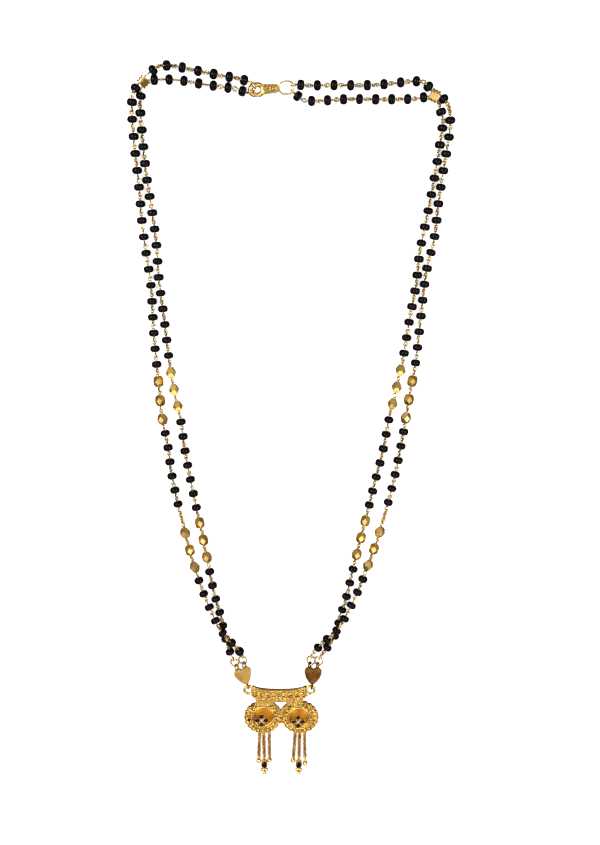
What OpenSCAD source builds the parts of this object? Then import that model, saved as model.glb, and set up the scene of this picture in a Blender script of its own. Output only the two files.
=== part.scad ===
// A two-strand mangalsutra laid flat on a surface, in millimetres, +Z up.
// The clasp lies at the top (+Y), the pendant at the bottom (-Y). The lowest bead corners touch z = 0.
// Sizes are real sizes. Each strand is a row of drilled beads on a thread of linked wire,
// which is drawn as one smooth tube with an eye at each end.

/* [Black beads] */
// diameter of a black bead across its hole
bead_d = 3; // [2.8:0.05:3.1]
// length of a black bead along its hole
bead_len = 2.1; // [1.8:0.05:2.3]

/* [Gold beads] */
// width of a faceted gold bead over two opposite diamond facets
gold_d = 2.85; // [2.7:0.05:3]
// width of each of the four diamond facets round a gold bead
gold_facet = 1.65; // [1.5:0.05:1.75]
// length of a gold bead along its hole
gold_len = 3.3; // [2.9:0.05:3.5]

/* [Threads] */
// diameter of the linked wire, drawn as a tube
thread_d = 0.8; // [0.6:0.05:0.9]
// diameter of the wire of the end eyes and jump rings
wire_d = 0.5; // [0.4:0.02:0.54]
// play between a thread and what it passes through
bore_play = 0.12; // [0.1:0.01:0.2]
// free wire between two neighbouring beads, before each strand's own slack
link_gap = 2.5; // [2.2:0.05:2.8]
// play between two rings that hang in each other
ring_play = 0.12; // [0.1:0.01:0.2]
// play between a thread's first bead and a collar
collar_seat = 0.15; // [0.12:0.01:0.3]

/* [Collars] */
// length of a collar along the strands
collar_len = 2.4; // [2:0.05:2.6]
// wall of a collar
collar_wall = 0.42; // [0.35:0.01:0.6]
// distance between the middles of the two threads in a collar
collar_pitch = 1.7; // [1.1:0.05:1.8]
// how far a collar's three ribs stand out
collar_rib = 0.2; // [0.1:0.02:0.3]

/* [Clasp] */
// length of the ribbed eye over the outside
eye_w = 4.8; // [4.5:0.05:5.1]
// height of the ribbed eye over the outside
eye_h = 4.1; // [3.9:0.05:4.4]
// thickness of the ribbed eye's bar
eye_bar = 1.26; // [1.1:0.02:1.3]
// length of the tapered shank between eye and hook
shank_len = 4.2; // [3.5:0.05:5]
// width of the shank where it leaves the eye
shank_w = 2.8; // [2.4:0.05:3]
// width of the shank at the hook
shank_tip = 2.2; // [1.6:0.05:2.35]
// thickness of the shank
shank_t = 1.1; // [0.8:0.05:1.2]
// length of the wire hook loop over the outside
hook_w = 4.8; // [4.4:0.05:5.2]
// height of the wire hook loop over the outside
hook_h = 4; // [3.7:0.05:4.2]

/* [Jump rings and hearts] */
// outer diameter of a jump ring
ring_d = 3.2; // [3:0.05:3.4]
// outer diameter of the two eyes on top of a heart
heart_eye_d = 2.4; // [2.2:0.02:2.5]
// width of a heart over its lobes
heart_w = 5.6; // [5.3:0.05:5.8]
// height of a heart from its lobes to its tip
heart_h = 6; // [5.6:0.05:6.3]
// thickness of a heart in the middle
heart_t = 1.3; // [1:0.05:1.5]
// thickness of a heart at its edge
heart_edge = 0.8; // [0.6:0.05:0.9]

/* [Pendant] */
// width of a cup over its scallops
cup_w = 12.1; // [11.8:0.05:12.4]
// height of a cup over its scallops, as seen from above
cup_h = 11.3; // [11:0.05:12]
// number of scallops round a cup
scallops = 20; // [16:1:24]
// diameter of the bright dish in the middle of a cup
dish_d = 6.4; // [6:0.05:6.8]
// how far the dish bulges above its ring
dish_rise = 0.7; // [0.4:0.05:0.9]
// thickness of the pendant's plate
plate_t = 1.1; // [0.9:0.05:1.3]
// distance between the middles of the two end rings of the bar
bar_w = 19.9; // [19.5:0.05:20.3]
// height of the bar in the middle
bar_h = 3.8; // [3.6:0.05:4]
// thickness of the bar
bar_t = 1.5; // [1.3:0.05:1.7]
// how far the bar sits off the cups' middle
bar_shift = 0.6; // [0.4:0.05:0.8]
// outer diameter of the end rings
end_ring_d = 3.5; // [3.3:0.05:3.7]
// wire of the end rings
end_ring_wire = 0.84; // [0.7:0.02:0.9]
// width of the opening between bar and cups
window_w = 4.6; // [4:0.05:5]
// height of the opening between bar and cups
window_h = 3.1; // [2.6:0.05:3.4]

/* [Flowers] */
// distance of an enamel petal from the flower's middle
petal_r = 1.42; // [1.38:0.02:1.6]
// length of an enamel petal, pointing outwards
petal_len = 1.5; // [1.4:0.02:1.56]
// width of an enamel petal
petal_w = 1.28; // [1.1:0.02:1.34]
// thickness of the enamel
petal_t = 0.45; // [0.35:0.05:0.5]
// wall of a petal's cell
cell_wall = 0.16; // [0.12:0.01:0.2]

/* [Drops] */
// outer length of a chain link
link_len = 2.04; // [2:0.02:2.16]
// outer width of a chain link
link_w = 1.48; // [1.46:0.02:1.52]
// wire of a chain link
link_wire = 0.4; // [0.36:0.01:0.41]
// links in a chain
links = 7; // [5:1:8]
// diameter of the ball at the end of a side chain
ball_d = 1.65; // [1.5:0.05:1.75]
// width of the pointed oval setting
setting_w = 2.05; // [1.9:0.05:2.2]
// length of the pointed oval setting
setting_len = 3.6; // [3.3:0.05:3.8]
// rim of the setting round its stone
setting_rim = 0.24; // [0.18:0.02:0.3]
// diameter of the three small balls below a setting
cluster_d = 1.3; // [1.1:0.05:1.4]
// height of a setting above the surface
setting_t = 1.15; // [1:0.05:1.3]
// height of a stone above its setting
stone_rise = 0.35; // [0.25:0.05:0.45]
// play round a stone or a petal in its seat
seat_play = 0.06; // [0.05:0.01:0.1]

/* [Hidden] */

$fn = 40;
// a plain allowance that lets joined solids overlap
lap = 0.05;
BLACK = 0;
GOLD = 1;
BARE = 2;

// radii of the wire rings, measured to the middle of the wire
eye_r = wire_d + ring_play + 0.03;
clasp_eye_r = eye_bar / 2 + ring_play + wire_d / 2 + 0.03;
ring_r = (ring_d - wire_d) / 2;
heart_eye_r = (heart_eye_d - wire_d) / 2;
end_ring_r = (end_ring_d - end_ring_wire) / 2;
tip_r = end_ring_wire / 2 + ring_play + wire_d / 2;

// heights of the middles of the lying pieces
bead_z = max(bead_d, norm([gold_d, gold_facet])) / 2;
clasp_z = max(clasp_eye_r + wire_d / 2 + 0.1, bead_z);
joint_z = tip_r + wire_d / 2 + 0.1;
drop_z = ball_d / 2;

// where the pieces lie, seen from above
clasp_at = [-9.9, 103.9];
clasp_turn = 4;
collar_at = [[-41.8, 106], [40.5, 102.3]];
collar_turn = [226, -25];
collar_roll = [50, 20];
cups_at = [-3.64, -90.4];
// how far each heart's tip loop sits round its end ring, how far the heart leans from
// straight up, and how far its two jump rings do
tip_turn = [101, 66];
heart_turn = [18, -4];
ring_turn = [[20, 14], [-14, -12]];
// the direction in which each strand's eye points from the clasp and how steeply it climbs,
// and the direction in which it points from its jump ring
start_turn = [120, 195, 15, -45];
start_climb = [50, 0, 0, 0];
end_turn = [88, 112, 84, 70];
end_climb = 35;
// how far the jump rings and the hearts' eyes are rolled about their own way up
ring_roll = -20;
heart_eye_roll = 65;

// routes of the four strands: a few points each, as x, y and the lift of the thread
// above the height at which a bead lies; the ends follow from the pieces that they meet
ROUTES = [
  // left outer strand, clasp to collar
  [[-13.2, 106.6, 2.6], [-17.4, 107, 2.1], [-21.4, 107.9, 1.4], [-25.6, 108.8, 0.7], [-30.6, 109.8, 0.1],
   [-35.1, 110.6, 1.3], [-38.1, 109.6, 2.9]],
  // left outer strand, collar to heart
  [[-43.9, 104.5, 3.1], [-45.1, 100.5, 2.6], [-45.2, 95.5, 1.2], [-44.8, 86, 0.4], [-44, 76, 0.2],
   [-43.6, 67, 0], [-42.6, 57.5, 0], [-41.5, 49, 0], [-41.3, 40, 0], [-40.9, 30, 0], [-40.2, 21, 0],
   [-39.4, 9, 0], [-37.8, 0, 0], [-37.1, -8, 0], [-35.2, -18.5, 0], [-33.4, -27, 0], [-30.6, -38.6, 0],
   [-28, -47.5, 0], [-26, -52, 0.9], [-24.1, -56, 2.2], [-21.8, -60, 3.3], [-18.6, -63.4, 2.5],
   [-16.5, -67, 0.9]],
  // left inner strand, clasp to collar
  [[-13.7, 103.4, 0], [-17.2, 104.5, 0], [-21.7, 104.9, 0], [-26.4, 105.6, 0], [-31.1, 106.5, 0],
   [-35.9, 106.7, 0]],
  // left inner strand, collar to heart
  [[-43.1, 101, 0], [-43, 97, 0], [-42.6, 90, 0], [-41.8, 79.5, 0], [-40.5, 70, 0], [-39.5, 60, 0],
   [-39.2, 51, 0], [-38.1, 41, 0], [-37.1, 30, 0], [-36, 20, 0], [-33.7, 8, 0], [-32.9, 0, 0],
   [-31.4, -9.5, 0], [-29.5, -20, 0], [-26.9, -34, 0], [-25.1, -45, 0], [-23.2, -53, 0],
   [-21.9, -58, 0], [-21.7, -62.3, 0], [-19.8, -67, 0]],
  // right outer strand, clasp to collar
  [[3.3, 105, 0.1], [11.4, 105.2, 0], [20.9, 105.1, 0], [26.4, 105.4, 0], [35, 106.3, 0.3],
   [38, 105.6, 2.4]],
  // right outer strand, collar to heart
  [[43.3, 101.6, 3.1], [45.4, 97, 1.5], [44.9, 90.8, 0.5], [43.6, 81.3, 0.1], [42.4, 71.5, 0],
   [41.7, 62.5, 0], [39.6, 53.7, 0], [38.7, 44.7, 0], [37.6, 32, 0], [36.8, 24, 0], [35.2, 14.6, 0],
   [34, 5.5, 0], [32.4, -4.2, 0], [30.7, -13, 0], [27.3, -26.9, 0], [23.8, -37.7, 0],
   [20.7, -46.7, 0], [18.7, -50.8, 0.6], [16.5, -54.9, 2], [14, -59.1, 3.1], [10.8, -61.9, 2],
   [8.2, -65.2, 0.5]],
  // right inner strand, clasp to collar
  [[2, 101.2, 0.1], [6.6, 100.8, 0], [15.4, 101.4, 0], [24.4, 101.3, 0], [33.9, 101.4, 0],
   [36.9, 101.5, 0]],
  // right inner strand, collar to heart
  [[43.3, 97.8, 0], [42.6, 90, 0], [41.5, 82, 0], [40.3, 74.4, 0], [38.8, 66, 0], [37.3, 58, 0],
   [36.7, 49.4, 0], [34.9, 39, 0], [33.5, 28.6, 0], [31.5, 18.3, 0], [29.3, 8.4, 0], [27.8, -1, 0],
   [25.2, -12, 0], [22.7, -23.4, 0], [20.2, -34, 0], [18.1, -43.5, 0], [16.2, -52, 0],
   [14.5, -56.3, 0], [14.1, -61.2, 0], [11.5, -65, 0.2]],
];

// the runs of beads on each route: kind, how many, and as shares of link_gap
// the free wire before the run and between its beads
RUNS = [
  [[BLACK, 7, 1, 0.86]],
  [[BLACK, 18, 1, 1.04], [GOLD, 3, 1, 1], [BLACK, 6, 0.67, 0.97], [BARE, 1, 0.95, 1],
   [GOLD, 3, 0.95, 0.98], [BLACK, 7, 0.75, 1]],
  [[BLACK, 7, 1, 0.86]],
  [[BLACK, 17, 1, 1.01], [GOLD, 3, 1, 0.76], [BLACK, 7, 0.85, 0.97], [GOLD, 3, 0.92, 0.94],
   [BLACK, 7, 0.84, 1]],
  [[BLACK, 9, 1, 1]],
  [[BLACK, 1, 1, 1], [BLACK, 16, 2.25, 1.02], [GOLD, 3, 1.13, 0.95], [BLACK, 6, 0.63, 0.96],
   [BARE, 1, 1, 1], [GOLD, 3, 1.01, 0.95], [BLACK, 7, 0.82, 1]],
  [[BLACK, 9, 1, 1]],
  [[BLACK, 16, 1, 1.01], [GOLD, 3, 1, 0.76], [BLACK, 7, 0.9, 0.97], [GOLD, 3, 1, 0.9],
   [BLACK, 7, 0.88, 1]],
];
// free wire from a strand's first eye to its first bead, on both sides of its collar and
// from its last bead to its last eye, as shares of link_gap
SLACK = [[0.56, 0.76, 0.38, 0.5], [0.16, 0.26, 0.56, 0.5], [0.15, 0.3, 0.42, 1.06],
         [0.15, 0.2, 0.96, 1.06]];

function unit(v) = v / norm(v);
function heading(a) = [cos(a), sin(a), 0];
function sums(v) = [for (i = 0, s = 0; i <= len(v); s = s + (i < len(v) ? v[i] : 0), i = i + 1) s];
function blend(a, b, c, d, t) =
  0.5 * (2 * b + (c - a) * t + (2 * a - 5 * b + 4 * c - d) * t * t
         + (3 * b - a - 3 * c + d) * t * t * t);
function smooth(p, n) = concat(
  [for (i = [0:len(p) - 2], k = [0:n - 1])
    blend(p[max(i - 1, 0)], p[i], p[i + 1], p[min(i + 2, len(p) - 1)], k / n)],
  [p[len(p) - 1]]);
function steps(q) = [for (i = [0:len(q) - 2]) norm(q[i + 1] - q[i])];

// a point of the clasp, from the middle of its ribbed eye
function clasp_point(x, y) =
  [clasp_at.x + x * cos(clasp_turn) - y * sin(clasp_turn),
   clasp_at.y + x * sin(clasp_turn) + y * cos(clasp_turn), clasp_z];
eye_arc = (eye_h - eye_bar) / 2;
eye_half = (eye_w - eye_h) / 2;
hook_arc = (hook_h - wire_d) / 2;
hook_half = (hook_w - hook_h) / 2;
hook_x = eye_w / 2 + shank_len + hook_w / 2 - 0.55;
function eye_limb(a) = clasp_point(-eye_half + eye_arc * cos(a), eye_arc * sin(a));
function hook_limb(a) = clasp_point(hook_x + hook_half + hook_arc * cos(a), hook_arc * sin(a));

// the hearts hang on the pendant's end rings, and the jump rings on the hearts' eyes
bar_y = cup_h / 2 + 0.95 * bar_h / 2;
function end_ring(s) =
  [cups_at.x - bar_shift + s * bar_w / 2, cups_at.y + bar_y + 0.6 * bar_h, joint_z];
function tip_loop(i) = end_ring(i == 0 ? -1 : 1) + end_ring_r * heading(tip_turn[i]);
function heart_up(i) = heading(90 + heart_turn[i]);
eye_spread = 0.226 * heart_w;
function heart_eye(i, s) = tip_loop(i) + heart_up(i) * (tip_r + heart_h + heart_eye_r - 0.35)
  + heading(heart_turn[i]) * s * eye_spread;
// s is -1 for the ring on the left of a heart and 1 for the ring on its right
ring_reach = ring_r + heart_eye_r - wire_d - ring_play;
function ring_dir(i, s) = 90 + ring_turn[i][s < 0 ? 0 : 1];
function jump_ring(i, s) = heart_eye(i, s) + heading(ring_dir(i, s)) * ring_reach;

// the middles of the eyes at the two ends of each strand: outer and inner left,
// outer and inner right
START_EYES = [eye_limb(110), eye_limb(198), hook_limb(18), hook_limb(-42)];
END_EYES = [for (k = [0:3]) let (i = k < 2 ? 0 : 1, s = k == 0 || k == 3 ? 1 : -1,
    d = ring_dir(i, s), f = end_turn[k] - d)
  jump_ring(i, s) + ring_r * (heading(d) * cos(f) + heading(d + 90) * sin(f) * cos(ring_roll)
    + [0, 0, sin(f) * sin(ring_roll)])];
function start_r(k) = k < 2 ? clasp_eye_r : eye_r;
function start_exit(k) = START_EYES[k] + start_r(k)
  * (cos(start_climb[k]) * heading(start_turn[k]) + [0, 0, sin(start_climb[k])]);
function end_exit(k) = END_EYES[k]
  + eye_r * (cos(end_climb) * heading(end_turn[k]) + [0, 0, sin(end_climb)]);

// each collar's middle, and where a strand passes through it
function collar_axis(i) = heading(collar_turn[i]);
function collar_out(i) = let (a = collar_axis(i), p = [-a.y, a.x, 0])
  (p.y > 0 ? p : -p) * cos(collar_roll[i]) + [0, 0, sin(collar_roll[i])];
function collar_mid(i) =
  [collar_at[i].x, collar_at[i].y, bead_z + collar_pitch / 2 * sin(collar_roll[i])];
function collar_pass(k, s) = let (i = k < 2 ? 0 : 1, o = k % 2 == 0 ? 1 : -1)
  collar_mid(i) + collar_out(i) * o * collar_pitch / 2
  + collar_axis(i) * s * (collar_len / 2 + collar_seat);

function lift(p) = [for (q = p) [q.x, q.y, bead_z + q.z]];
function piece_len(k) = k == BLACK ? bead_len : k == GOLD ? gold_len : bead_len;
function kinds(r) = [for (q = r, i = [0:q[1] - 1]) q[0]];
function frees(r) = [for (q = r, i = [0:q[1] - 1]) (i == 0 ? q[2] : q[3]) * link_gap];

// one stretch of a strand: the knots at which its thread bends, then the bead middles;
// every length is stretched alike, so that the beads always fill the route
function stretch(p, r, lead, tail) = let (
    q = smooth(p, 24), d = sums(steps(q)), n = len(q),
    k = kinds(r), f = frees(r), m = len(k),
    start = sums([for (i = [0:m - 1]) piece_len(k[i]) + (i < m - 1 ? f[i + 1] : 0)]),
    total = lead + start[m] + tail,
    share = d[n - 1] / total,
    tx = [for (i = [0:n - 1]) [d[i], q[i].x]],
    ty = [for (i = [0:n - 1]) [d[i], q[i].y]],
    tz = [for (i = [0:n - 1]) [d[i], q[i].z]],
    cuts = concat([0], m < 2 ? [] : [for (i = [1:m - 1]) lead + start[i] - f[i] / 2], [total]),
    knots = [for (c = cuts) let (s = c * share) [lookup(s, tx), lookup(s, ty), lookup(s, tz)]],
    mids = [for (i = [0:m - 1])
      let (w = (lead + start[i] + piece_len(k[i]) / 2 - cuts[i]) / (cuts[i + 1] - cuts[i]))
      knots[i] + (knots[i + 1] - knots[i]) * w])
  [knots, mids, k];

// strand k as its top stretch and its side stretch
function top_part(k) = stretch(
  concat([start_exit(k)], lift(ROUTES[2 * k]), [collar_pass(k, -1)]),
  RUNS[2 * k], SLACK[k][0] * link_gap, SLACK[k][1] * link_gap);
function side_part(k) = stretch(
  concat([collar_pass(k, 1)], lift(ROUTES[2 * k + 1]), [end_exit(k)]),
  RUNS[2 * k + 1], SLACK[k][2] * link_gap, SLACK[k][3] * link_gap);

// turns a shape's own Z axis to point along v
module aim(at, v) {
  translate(at)
    rotate([0, acos(v.z / norm(v)), atan2(v.y, v.x)])
      children();
}

// a ring of round wire, lying in the XY plane
module wire_ring(r, w) {
  rotate_extrude()
    translate([r, 0])
      circle(d = w);
}

// a long ring of round wire: two half rings joined by straight wire
module long_ring(half, r, w) {
  for (s = [-1, 1]) {
    translate([s * half, 0, 0])
      rotate([0, 0, s > 0 ? -90 : 90])
        rotate_extrude(angle = 180)
          translate([r, 0])
            circle(d = w);
    if (half > 0)
      translate([-half, s * r, 0])
        rotate([0, 90, 0])
          cylinder(d = w, h = 2 * half);
  }
}

// a round glass bead: a fat ring with a drilled hole, its hole along Z
module black_bead() {
  round_r = bead_len / 2;
  difference() {
    union() {
      rotate_extrude()
        translate([bead_d / 2 - round_r, 0])
          intersection() {
            circle(r = round_r);
            translate([0, -round_r])
              square([round_r, 2 * round_r]);
          }
      cylinder(d = bead_d - 2 * round_r + 0.02, h = bead_len, center = true);
    }
    cylinder(d = thread_d + 2 * bore_play, h = bead_len + 1, center = true);
  }
}

// a point turned by q quarter turns about Z
function quarter(p, q) = let (c = cos(90 * q), t = sin(90 * q))
  [p.x * c - p.y * t, p.x * t + p.y * c, p.z];

// how high a gold bead's diamond facets reach, as a share of the bead's length
GOLD_TIP = 0.32;
// a faceted gold bead, its hole along Z: four diamonds round its waist, slanting facets
// between them, and four facets that taper to each end
module gold_bead() {
  a = gold_d / 2;
  h = gold_len / 2;
  hole = (thread_d / 2 + bore_play) / cos(22.5);
  e = (hole + 0.1) * sqrt(2);
  waist = [for (q = [0:3], s = [-1, 1]) quarter([a, s * gold_facet / 2, 0], q)];
  rings = [for (r = [[a, gold_len * GOLD_TIP], [a, -gold_len * GOLD_TIP], [e, h], [e, -h]], q = [0:3])
    quarter([r[0], 0, r[1]], q)];
  bore = [for (z = [h, -h], i = [0:7]) [hole * cos(45 * i), hole * sin(45 * i), z]];
  faces = [for (q = [0:3]) let (
      p = (q + 1) % 4, w = 2 * q, v = (2 * q + 2) % 8, u = 8, d = 12, t = 16, f = 20, m = 24, n = 32)
    each [[u + q, w + 1, d + q, w],
          [u + q, u + p, v, w + 1], [w + 1, v, d + p, d + q],
          [t + q, t + p, u + p, u + q], [d + q, d + p, f + p, f + q],
          [t + q, m + w, m + w + 1], [t + q, m + w + 1, t + p], [t + p, m + w + 1, m + v],
          [f + q, n + w + 1, n + w], [f + q, f + p, n + w + 1], [f + p, n + v, n + w + 1],
          [m + w + 1, m + w, n + w, n + w + 1], [m + v, m + w + 1, n + w + 1, n + v]]];
  polyhedron(concat(waist, rings, bore), faces);
}

// how far each strand's gold beads are rolled about their own holes, from clasp to heart
GOLD_ROLL = [[0, 4, 12, 15, -8, 20], [45, 44, 38, -12, 0, 5], [0, -4, -12, -15, 8, -20],
             [45, 46, -38, 12, 0, -5]];
function golds_before(k, n) = len([for (i = [0:1:n - 1]) if (k[i] == GOLD) 1]);

module beads(k, kind) {
  for (part = [top_part(k), side_part(k)])
    for (i = [0:len(part[2]) - 1])
      if (part[2][i] == kind)
        aim(part[1][i], part[0][i + 1] - part[0][i])
          if (kind == GOLD)
            rotate([0, 0, GOLD_ROLL[k][golds_before(part[2], i)]])
              gold_bead();
          else
            black_bead();
}

// a tube through the given points with its own radius at each
module tube(p, radii, n) {
  m = len(p);
  along = [for (i = [0:m - 1])
    unit((i == 0 ? [0, 0, 0] : unit(p[i] - p[i - 1]))
         + (i == m - 1 ? [0, 0, 0] : unit(p[i + 1] - p[i])))];
  rings = [for (i = [0:m - 1]) let (t = along[i], a = unit(cross(t, [0, 0, 1])), b = cross(a, t))
    for (j = [0:n - 1]) p[i] + radii[i] * (a * cos(360 * j / n) + b * sin(360 * j / n))];
  walls = [for (i = [0:m - 2], j = [0:n - 1]) let (k = (j + 1) % n)
    each [[i * n + j, i * n + k, i * n + n + k], [i * n + j, i * n + n + k, i * n + n + j]]];
  polyhedron(rings, concat(walls,
    [[for (j = [n - 1:-1:0]) j]],
    [[for (j = [0:n - 1]) (m - 1) * n + j]]));
}

// the thread of strand k with an eye at each end
module thread(k) {
  knots = concat(top_part(k)[0], side_part(k)[0]);
  m = len(knots);
  radii = [for (i = [0:m - 1]) (i == 0 || i == m - 1 ? wire_d : thread_d) / 2];
  tube(knots, radii, 8);
  translate(START_EYES[k])
    rotate([90, 0, start_turn[k] + 180])
      wire_ring(start_r(k), wire_d);
  translate(END_EYES[k])
    rotate([90, 0, end_turn[k]])
      wire_ring(eye_r, wire_d);
}

// the outline of a collar, with its long way along X
module collar_outline(grow) {
  r = thread_d / 2 + bore_play + grow;
  for (s = [-1, 1])
    translate([s * collar_pitch / 2, 0])
      circle(r = r);
  square([collar_pitch, 2 * r], center = true);
}

module collar(i) {
  a = collar_axis(i);
  o = collar_out(i);
  u = cross(a, o);
  rib = collar_len / 5;
  multmatrix([[o.x, u.x, a.x, collar_mid(i).x], [o.y, u.y, a.y, collar_mid(i).y],
              [o.z, u.z, a.z, collar_mid(i).z], [0, 0, 0, 1]])
    difference() {
      union() {
        translate([0, 0, -collar_len / 2 + lap])
          linear_extrude(collar_len - 2 * lap)
            collar_outline(collar_wall - collar_rib);
        for (z = [-collar_len / 2, -rib / 2, collar_len / 2 - rib])
          translate([0, 0, z])
            linear_extrude(rib)
              collar_outline(collar_wall);
      }
      translate([0, 0, -collar_len])
        linear_extrude(2 * collar_len)
          collar_outline(0);
    }
}

module clasp() {
  left = eye_w / 2 - eye_bar * 0.6;
  right = eye_w / 2 + shank_len;
  translate(clasp_point(0, 0))
    rotate([0, 0, clasp_turn]) {
      long_ring(eye_half, eye_arc, eye_bar);
      translate([0, 0, -shank_t / 2])
        linear_extrude(shank_t)
          polygon([[left, -shank_w / 2], [right - shank_tip / 3, -shank_tip / 2],
                   [right, -shank_tip / 5], [right, shank_tip / 5],
                   [right - shank_tip / 3, shank_tip / 2], [left, shank_w / 2]]);
      translate([hook_x, 0, 0])
        long_ring(hook_half, hook_arc, wire_d);
    }
}

module ring(i, s) {
  translate(jump_ring(i, s))
    rotate([0, 0, ring_dir(i, s)])
      rotate([ring_roll, 0, 0])
        wire_ring(ring_r, wire_d);
}

// a heart's outline with its tip at the origin and its lobes up
module heart_outline() {
  r = heart_w * 0.272;
  c = heart_w / 2 - r;
  up = heart_h - r;
  for (s = [-1, 1])
    translate([s * c, up])
      circle(r = r);
  side = [[0.17 * heart_w, 0.125 * heart_h], [0.325 * heart_w, 0.325 * heart_h],
          [0.425 * heart_w, 0.5 * heart_h], [c + 0.88 * r, up - 0.46 * r], [c, up]];
  polygon(concat([[0, 0]], side, [[0, up + r * 0.45]],
                 [for (i = [len(side) - 1:-1:0]) [-side[i].x, side[i].y]]));
}

module heart(i) {
  bulge = heart_t - heart_edge;
  dome = (pow(heart_w / 2, 2) + bulge * bulge) / (2 * bulge);
  translate(tip_loop(i))
    rotate([0, 0, heart_turn[i]]) {
      intersection() {
        translate([0, tip_r - wire_d / 3, -heart_edge / 2])
          linear_extrude(heart_t)
            heart_outline();
        translate([0, tip_r + heart_h * 0.55, heart_t - heart_edge / 2 - dome])
          sphere(r = dome);
      }
    }
  translate(tip_loop(i))
    rotate([90, 0, (tip_turn[i] + 90 + heart_turn[i]) / 2])
      wire_ring(tip_r, wire_d);
  for (s = [-1, 1])
    translate(heart_eye(i, s))
      rotate([0, 0, heart_turn[i]])
        rotate([0, heart_eye_roll, 0])
          wire_ring(heart_eye_r, wire_d);
}

// the bar's outline: one row for each corner of its right half, as shares of half the
// distance between the end rings and of the bar's height, from its middle outwards
BAR = [[0, 0.5], [0.35, 0.52], [0.6, 0.6], [0.76, 0.7], [0.86, 0.84], [0.87, 0.3],
       [0.89, 0.08], [0.76, -0.16], [0.74, -0.85], [0, -0.85]];
module bar_outline() {
  half = bar_w / 2;
  polygon(concat([for (b = BAR) [b[0] * half, b[1] * bar_h]],
                 [for (i = [len(BAR) - 1:-1:0]) [-BAR[i][0] * half, BAR[i][1] * bar_h]]));
}

// the solder between the cups: the corners of its right half, as shares of half a cup
WEB = [[0.5, 1.02], [0.5, 0.55], [0.22, 0.25], [0.1, -0.36]];
// the opening between bar and cups: its right half, as shares of its own width and height
WINDOW = [[0.5, 0], [0.42, -0.3], [0.12, -0.72], [0.03, -1]];
module mirrored(p, w, h) {
  n = len(p);
  polygon(concat([for (q = p) [q[0] * w, q[1] * h]],
                 [for (i = [n - 1:-1:0]) [-p[i][0] * w, p[i][1] * h]]));
}

// where each scallop's middle lies on a cup
scallop_r = 0.56 * PI * (cup_w + cup_h) / 2 / scallops;
function scallop(a) = [(cup_w / 2 - scallop_r) * cos(a), (cup_h / 2 - scallop_r) * sin(a)];

// where the dish, its flower and the three chains lie on a cup, from the cup's middle
dish_at = [[0.2, 0.45], [-0.4, 0.1]];
flower_at = [[-0.35, -0.55], [-0.6, -1]];
CHAIN_X = [[-1.1, 0.3, 2.1], [-1.6, -0.15, 1.45]];
CHAIN_TURN = [[-2, 0.5, 0], [-4, -1.3, 1.2]];
function cup_at(i) = [cups_at.x + (i == 0 ? -1 : 1) * cup_w / 2, cups_at.y, 0];

dish_ball = (pow(dish_d / 2, 2) + dish_rise * dish_rise) / (2 * dish_rise);
dish_top = plate_t + 0.1 + dish_rise;
flower_top = dish_top + 0.15;

// the rounded outline of a petal, its long way along Y
module petal_outline(w, l) {
  for (s = [-1, 1])
    translate([0, s * (l - w) / 2])
      circle(d = w);
  square([w, l - w], center = true);
}

// a pointed oval, its long way along Y
module leaf(w, l) {
  r = (w * w + l * l) / (4 * w);
  intersection_for(s = [-1, 1])
    translate([s * (r - w / 2), 0])
      circle(r = r);
}

module cup(i) {
  translate(cup_at(i)) {
    linear_extrude(plate_t)
      polygon([for (j = [0:scallops - 1]) scallop(360 * j / scallops)]);
    for (j = [0:scallops - 1]) let (a = 360 * j / scallops) {
      translate(scallop(a))
        cylinder(r = scallop_r, h = plate_t);
      translate([scallop(a).x, scallop(a).y, plate_t - 0.2])
        sphere(r = scallop_r * 0.6);
      rotate([0, 0, atan2(scallop(a).y, scallop(a).x)])
        translate([norm(scallop(a)) - scallop_r * 1.1, 0, plate_t])
          rotate([0, 90, 0])
            cylinder(d = 0.5, h = scallop_r * 0.9);
    }
    translate([dish_at[i].x, dish_at[i].y, plate_t]) {
      wire_ring(dish_d / 2 + 0.15, 0.6);
      translate([0, 0, 0.1])
        intersection() {
          translate([0, 0, -0.5])
            cylinder(d = dish_d, h = dish_rise + 1);
          translate([0, 0, dish_rise - dish_ball])
            sphere(r = dish_ball);
        }
    }
    translate([flower_at[i].x, flower_at[i].y, plate_t]) {
      cylinder(r = petal_r - petal_len / 2 + 0.1, h = flower_top - plate_t);
      for (a = [0:90:270])
        rotate([0, 0, a])
          translate([0, petal_r, 0])
            linear_extrude(flower_top - plate_t)
              petal_outline(petal_w + 2 * cell_wall, petal_len + 2 * cell_wall);
    }
  }
}

// the four cells of a cup's flower that hold the enamel
module cells(i) {
  translate([cup_at(i).x + flower_at[i].x, cup_at(i).y + flower_at[i].y,
             flower_top - petal_t - seat_play])
    for (a = [0:90:270])
      rotate([0, 0, a])
        translate([0, petal_r, 0])
          linear_extrude(petal_t + 1)
            petal_outline(petal_w, petal_len);
}

// one enamel petal, its top a little domed
module petal(i, a) {
  w = petal_w - 2 * seat_play;
  l = petal_len - 2 * seat_play;
  translate([cup_at(i).x + flower_at[i].x, cup_at(i).y + flower_at[i].y, flower_top - petal_t])
    rotate([0, 0, a])
      translate([0, petal_r, 0])
        intersection() {
          linear_extrude(petal_t + 0.2)
            petal_outline(w, l);
          translate([0, 0, petal_t + 0.05 - l])
            sphere(r = l);
        }
}

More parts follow.
